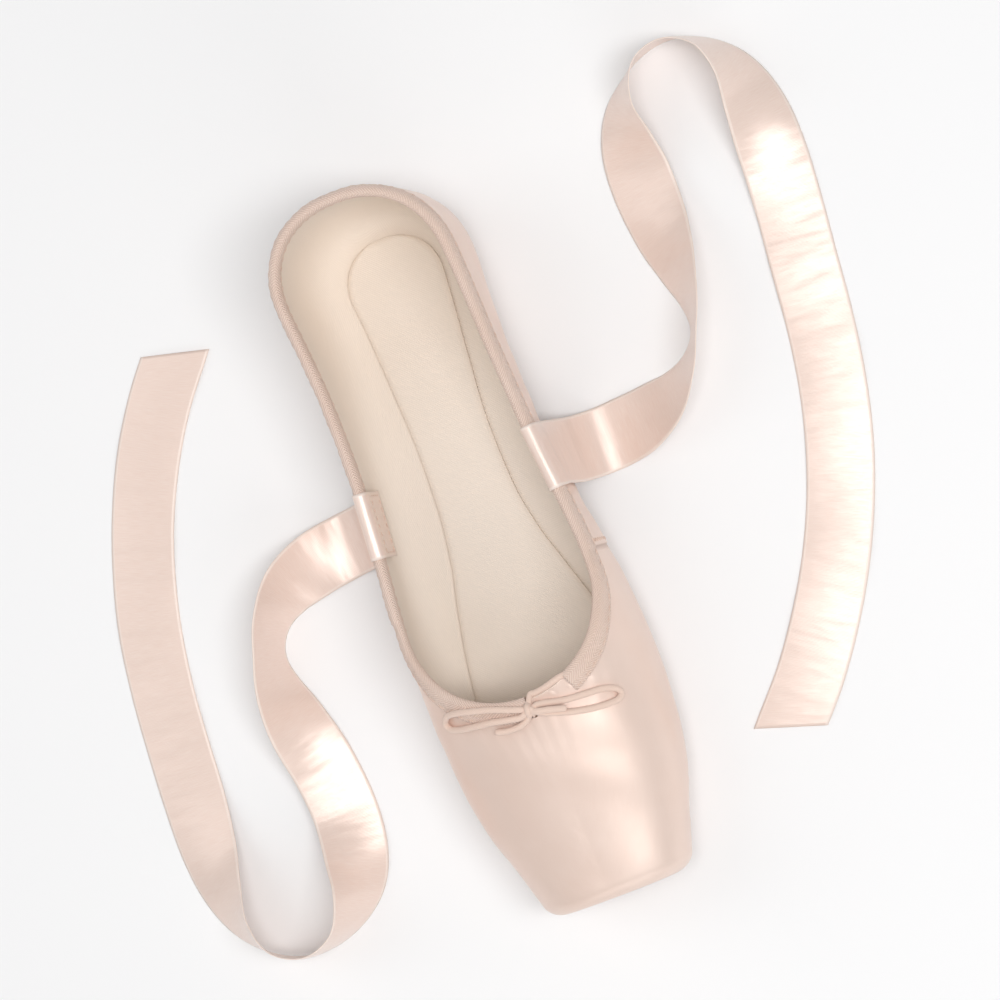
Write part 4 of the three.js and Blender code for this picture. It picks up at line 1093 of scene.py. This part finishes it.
# Bow by places on the vamp: x across and toe towards the toe, from the knot, and lift above the last.
LOOP_LEFT = [
    (-3.0, -1.4, 2.6), (-6.0, -2.6, 2.7), (-11.0, -4.6, 2.5), (-17.0, -6.3, 2.4), (-22.0, -7.3, 2.2),
    (-26.0, -7.2, 1.7), (-28.3, -5.2, 1.3), (-27.5, -2.8, 1.2), (-24.0, -1.6, 1.3), (-18.0, -1.0, 2.0),
    (-12.0, -0.4, 2.4), (-6.5, 0.7, 2.6), (-3.0, 1.2, 2.6),
]
LOOP_RIGHT = [
    (3.0, -0.6, 2.2), (6.0, 0.1, 1.8), (11.0, 1.4, 1.35), (17.0, 2.0, 1.25), (22.0, 2.5, 1.2),
    (25.5, 3.9, 1.2), (26.5, 5.9, 1.2), (24.5, 7.5, 1.2), (19.0, 7.3, 1.2), (13.0, 6.1, 1.3),
    (7.5, 4.3, 1.5), (3.1, 2.3, 2.1),
]
END_LEFT = [(-1.7, 2.6, 1.9), (-4.5, 3.9, 1.7), (-8.0, 4.2, 1.4), (-11.5, 3.6, 1.3), (-13.3, 3.1, 1.25)]
END_RIGHT = [(2.2, 0.8, 4.0), (5.5, 1.7, 3.9), (8.5, 2.9, 3.3), (10.6, 3.6, 3.1)]
# The lead by reach along the collar from the throat and rise over the edge. It starts inside the casing.
LEAD = [(16.5, -0.2), (15, 0.1), (13.5, 0.7), (11, 1.1), (8.5, 1.1), (6, 1.1), (3.5, 1.1), (1.6, 1.1)]

KNOT_SEAT = on_last(np.array([[0, to_y(VAMP_LENGTH) - KNOT_SETBACK, THROAT_HEIGHT]]))[0]
KNOT_OUT = outward_at(KNOT_SEAT[None])[0]
KNOT = KNOT_SEAT + KNOT_OUT * (KNOT_HEIGHT / 2 + GAP)


def on_vamp(rows):
    """Places above the vamp for rows of (x, toe, lift)."""
    x, toe, lift = np.array(rows).T
    y = KNOT_SEAT[1] - toe
    half, crown, widest, _, _, power = section_at(y + LENGTH / 2)
    z = widest + (crown - widest) * (1 - (np.abs(x) / half) ** power) ** (1 / power)
    seats = np.stack([x, y, z], axis=-1)
    return seats + outward_at(seats) * lift[:, None]


def lead_places():
    reach, rise = np.array(LEAD).T
    edge, out, down, _ = collar_frames(reach)
    wall = wall_at(edge[:, 1] + LENGTH / 2)
    return edge - out * wall[:, None] / 2 - down * rise[:, None]


KNOT_PITCH = 1.25
KNOT_DEPTH_RADIUS = 1.35
KNOT_RISE_RADIUS = 1.1


def build_bow():
    under_knot = KNOT - KNOT_OUT * 0.5
    right, right_length = curve_through(
        np.concatenate([lead_places(), [under_knot], on_vamp(LOOP_RIGHT), [KNOT], on_vamp(END_RIGHT)]), 260)
    left, left_length = curve_through(
        np.concatenate([[under_knot], on_vamp(LOOP_LEFT), [KNOT], on_vamp(END_LEFT)]), 230)
    wraps = []
    for angle in np.radians(np.arange(-120, 500, 12)):
        across = KNOT_PITCH * (angle / (2 * math.pi) - 0.5)
        wraps.append(KNOT + np.array([across, 0.25 * across, 0])
                     + KNOT_DEPTH_RADIUS * math.cos(angle) * np.cross((1, 0, 0), KNOT_OUT)
                     + KNOT_RISE_RADIUS * math.sin(angle) * KNOT_OUT)
    wrap_line, _ = curve_through(wraps, 120)
    wrap = build_cord("bow_knot_wrap", ["bow_knot"], wrap_line)
    right_cord = build_cord("drawstring_right", ["drawstring_lead", "bow_loop_right", "bow_end_right"], right)
    left_cord = build_cord("drawstring_left", ["bow_loop_left", "bow_end_left"], left)


build_bow()


def build_painted_hole_shadow():
    """A dark disc on the satin just before the knot: painted shade of the small hole there."""
    seat = on_vamp([(0.4, 2.9, 0.0)])[0]
    outward = outward_at(seat[None])[0]
    across = unit(np.cross(outward, (0, 1, 0)))
    ahead = np.cross(outward, across)
    half_width, half_length, sides = 1.2, 0.7, 20
    verts = [seat + outward * 0.02]
    for angle in np.linspace(0, 2 * math.pi, sides, endpoint=False):
        rim = across * half_width * math.cos(angle) + ahead * half_length * math.sin(angle)
        verts.append(seat + outward * 0.06 + rim)
    faces = [[0, 1 + i, 1 + (i + 1) % sides] for i in range(sides)]
    verts = np.array(verts)
    # Near-black brown disc: painted shade where the hole is.
    hole = Nodes("shadowed_hole", (0.16, 0.09, 0.06), 0.9)
    make_piece("painted_hole_shadow", [], [hole.material], verts, faces, verts[:, :2])


build_painted_hole_shadow()

# Ribbons: x and y in plan, bank in degrees from flat to on edge, and z only where one hangs.
RIBBON_RIGHT = [
    (36.2, 18.0, 0, 14), (38.4, 18.0, 0, 6.6), (43.0, 18.0, 0, 1.6), (50.0, 18.2, 3), (60.0, 19.2, 20),
    (71.0, 22.5, 45), (80.0, 29.5, 68), (86.0, 39.0, 78), (88.6, 50.0, 66), (88.6, 63.0, 42),
    (87.6, 77.0, 20), (87.2, 92.0, 14), (88.4, 106.0, 36), (92.4, 118.0, 64), (100.5, 127.0, 81),
    (111.6, 129.6, 85), (122.0, 125.0, 80), (128.4, 115.0, 62), (130.6, 101.0, 35), (130.2, 85.0, 12),
    (128.6, 67.0, 3),
    (126.4, 48.0, 1), (124.2, 29.0, 0), (121.0, 10.0, 0), (116.2, -9.0, 0), (109.6, -27.0, 0),
    (101.2, -44.5, 0), (91.2, -61.0, 0), (79.8, -76.5, 0), (67.2, -90.5, 0),
]
RIBBON_LEFT = [
    (-36.2, 18.0, 0, 14), (-38.4, 18.0, 0, 6.6), (-43.0, 17.8, 0, 1.6), (-50.0, 17.2, 3), (-60.0, 15.4, 20),
    (-70.5, 11.0, 45), (-79.0, 3.0, 68), (-84.0, -7.5, 76), (-85.6, -19.0, 62), (-84.6, -33.0, 36),
    (-82.6, -48.0, 14), (-81.4, -64.0, 12), (-82.2, -79.0, 32), (-86.4, -92.0, 60), (-95.0, -101.5, 80),
    (-107.0, -104.6, 85), (-118.6, -100.0, 80), (-126.0, -89.5, 62), (-129.4, -75.5, 36), (-130.2, -59.5, 13),
    (-129.4, -41.5, 3), (-128.2, -23.0, 1), (-126.4, -4.0, 0), (-123.2, 15.0, 0), (-118.2, 33.5, 0),
    (-111.4, 51.5, 0), (-102.8, 68.5, 0), (-92.4, 84.5, 0), (-80.4, 99.0, 0),
]
RIBBON_CLEARANCE = 0.5
CUT_SLANT = 5
CASING_SOLID = 1.2


def ribbon_route(route, side):
    """Centres and across-directions of a ribbon, from its sewn end inside the quarter to its cut end."""
    half = RIBBON_WIDTH / 2
    reach = float(np.interp(to_y(RIBBON_AT), RING[:len(RING) // 2, 1], RING_REACH[:len(RING) // 2]))
    frames = collar_frames([reach if side > 0 else COLLAR_LENGTH - reach])
    clear = CASING_SOLID + RIBBON_CLEARANCE / 2
    outer = SEAM_LAP + clear
    inner = -(QUARTER_WALL + clear)
    fold = 0.8
    # How far out from the wall and how far down it the sewn end and the fold over the casing lie.
    on_wall = [
        (inner, RIBBON_SEWN), (inner, 0.66 * RIBBON_SEWN), (inner, 0.33 * RIBBON_SEWN), (inner, 1),
        (inner + fold, -clear), ((inner + outer) / 2, -clear - fold / 2), (outer - fold, -clear), (outer, 1),
        (outer, CASING_OUTSIDE), (outer, 2 * CASING_OUTSIDE),
    ]
    centres = [by_collar(frames, outset, drop)[0] for outset, drop in on_wall]
    collar_wise = frames[3][0] * (-1 if frames[3][0][1] * side > 0 else 1)
    widths = [collar_wise] * len(on_wall)
    for i, row in enumerate(route):
        x, y, bank = row[:3]
        tilt = math.radians(bank)
        hangs = len(row) > 3
        centres.append(np.array([x, y, row[3] if hangs else half * math.sin(tilt) + 0.4]))
        ahead, before = route[min(i + 1, len(route) - 1)], route[max(i - 1, 0)]
        heading = unit(np.array([ahead[0] - before[0], ahead[1] - before[1], 0.0]))
        flat = np.array([0.0, -side, 0.0]) if hangs else np.cross(heading, (0, 0, 1))
        widths.append(flat * math.cos(tilt) + np.array([0, 0, 1]) * math.sin(tilt))
    return np.array(centres), np.array(widths)


def build_ribbon(name, node, route, side):
    half = RIBBON_WIDTH / 2
    centres, widths = ribbon_route(route, side)
    both, length = curve_through(np.concatenate([centres, widths], axis=1), 420)
    centre, across = both[:, :3], both[:, 3:]
    along = unit(np.gradient(centre, axis=0))
    across = unit(across - along * np.sum(across * along, axis=1, keepdims=True))
    face = np.cross(along, across)
    shares = np.linspace(-1, 1, 25)
    reach = np.linspace(0, length, len(centre))[:, None]
    # The cut end slants across the ribbon.
    slant = CUT_SLANT * eased((reach - (length - 30)) / 30)
    free = eased((reach - 70) / 30)
    bow = 0.35 * free * (shares ** 2 - 0.4) + 0.22 * free * np.sin(reach * 0.11 + side) * shares
    flat = centre[:, None] + across[:, None] * (half * shares)[:, None]
    flat = flat + along[:, None] * (slant * shares)[..., None]
    layers = (RIBBON_THICKNESS / 2, -RIBBON_THICKNESS / 2)
    verts = np.stack([flat + face[:, None] * (layer + bow)[..., None] for layer in layers])
    # The whole width is lifted where its lower edge would go into the floor.
    sunk = np.maximum(0, 0.03 - verts[..., 2].min(axis=(0, 2)))
    verts[..., 2] += np.convolve(np.pad(sunk, 6, mode="edge"), np.ones(13) / 13, mode="valid")[None, :, None]
    verts[..., 2] = np.maximum(verts[..., 2], 0.01)
    uvs = np.tile(np.stack(np.broadcast_arrays(reach, half * shares), axis=-1).reshape(-1, 2), (2, 1))
    rows, columns = len(centre), len(shares)
    lower = rows * columns
    faces = [*grid_faces(rows, columns).tolist(), *grid_faces(rows, columns, lower, flip=True).tolist()]
    for i in range(rows - 1):
        a, b = i * columns, (i + 1) * columns
        faces.append([b, a, lower + a, lower + b])
        a, b = a + columns - 1, b + columns - 1
        faces.append([a, b, lower + b, lower + a])
    for j in range(columns - 1):
        faces.append([j, j + 1, lower + j + 1, lower + j])
        a = (rows - 1) * columns + j
        faces.append([a + 1, a, lower + a, lower + a + 1])
    piece = make_piece(name, [node], [RIBBON], verts.reshape(-1, 3), faces, uvs)
    return centre, across, face


def ribbon_stitches(name, centre, across, face):
    """Running stitches that hold the sewn end to the lining."""
    inside = int(len(centre) * 0.034)
    rows = []
    toward_foot = np.sign(np.dot(face[4], (-centre[4][0], 0, 0)))
    lift = face[4] * toward_foot * (RIBBON_THICKNESS / 2 + 0.05)
    low, high = centre[1] + lift, centre[inside] + lift
    for share in np.arange(-0.86, 0.8, 0.24):
        for part in (0.08, 0.92):
            begin = low + (high - low) * part + across[2] * (RIBBON_WIDTH / 2) * share
            rows.append((begin, begin + across[2] * 1.7, face[4] * toward_foot))
    for part in np.arange(0.12, 0.86, 0.2):
        for edge in (-0.86, 0.86):
            begin = low + (high - low) * part + across[2] * (RIBBON_WIDTH / 2) * edge
            rows.append((begin, begin + unit(high - low) * 1.6, face[4] * toward_foot))
    build_stitches(name, rows, 0.16)


for ribbon, ribbon_list, ribbon_side in (("ribbon_right", RIBBON_RIGHT, 1), ("ribbon_left", RIBBON_LEFT, -1)):
    ribbon_lines = build_ribbon(ribbon + "_satin", ribbon, ribbon_list, ribbon_side)
    ribbon_stitches(ribbon + "_stitches", *ribbon_lines)

# Floor, light and camera


def build_floor():
    mesh = bpy.data.meshes.new("floor")
    reach, drop = 3.0, 0.0001
    corners = [(-1, -1), (1, -1), (1, 1), (-1, 1)]
    mesh.from_pydata([(reach * x, reach * y, -drop) for x, y in corners], [], [(0, 1, 2, 3)])
    nodes = Nodes("floor", (0.92, 0.92, 0.925), 0.7)
    nodes.set(Specular_IOR_Level=0.2)
    mesh.materials.append(nodes.material)
    floor = bpy.data.objects.new("floor", mesh)
    bpy.context.scene.collection.objects.link(floor)


def add_light(name, place, size, power):
    """A soft box in metres and watts, turned to the origin."""
    data = bpy.data.lights.new(name, "AREA")
    data.shape = "RECTANGLE"
    data.size, data.size_y = size
    data.energy = power
    light = bpy.data.objects.new(name, data)
    light.location = place
    light.rotation_mode = "QUATERNION"
    light.rotation_quaternion = (-Vector(place)).to_track_quat("-Z", "Y")
    bpy.context.scene.collection.objects.link(light)


def build_light():
    world = bpy.data.worlds.new("studio")
    world.use_nodes = True
    background = world.node_tree.nodes["Background"]
    background.inputs["Color"].default_value = (1, 0.995, 0.99, 1)
    background.inputs["Strength"].default_value = 0.40
    bpy.context.scene.world = world
    add_light("key", (0.42, -0.15, 1.38), (0.36, 1.1), 11.8)
    add_light("fill", (-0.9, 0.5, 0.9), (0.8, 1.2), 3)
    add_light("front", (0.1, -1.3, 0.6), (1.2, 0.5), 3)


# The photograph looks down on the shoe, a little from its +X side and its toe, and leans it in the picture.
VIEW_FROM = (0.202, -0.06, 0.978)
TOE_IN_PICTURE = (0.362, -0.932)
LENS = 120
SENSOR = 36
FRAME_SIZE = 0.325
FRAME_CENTRE = (0.007, 0.012, 0.010)


def build_camera():
    back = Vector(VIEW_FROM).normalized()
    toe = Vector((0, -1, 0))
    toe_seen = (toe - back * toe.dot(back)).normalized()
    turned = back.cross(toe_seen)
    right = TOE_IN_PICTURE[0] * toe_seen - TOE_IN_PICTURE[1] * turned
    up = TOE_IN_PICTURE[1] * toe_seen + TOE_IN_PICTURE[0] * turned
    right.normalize()
    up.normalize()
    data = bpy.data.cameras.new("camera")
    data.lens = LENS
    data.sensor_width = SENSOR
    data.clip_start, data.clip_end = 0.05, 20
    camera = bpy.data.objects.new("camera", data)
    distance = FRAME_SIZE / 2 / (SENSOR / 2 / LENS)
    place = Vector(FRAME_CENTRE) + back * distance
    turn = Matrix((right, up, back)).transposed().to_4x4()
    camera.matrix_world = Matrix.Translation(place) @ turn
    bpy.context.scene.collection.objects.link(camera)
    bpy.context.scene.camera = camera


build_floor()
build_light()
build_camera()
bpy.context.scene.view_settings.view_transform = "Standard"

bpy.context.view_layer.update()
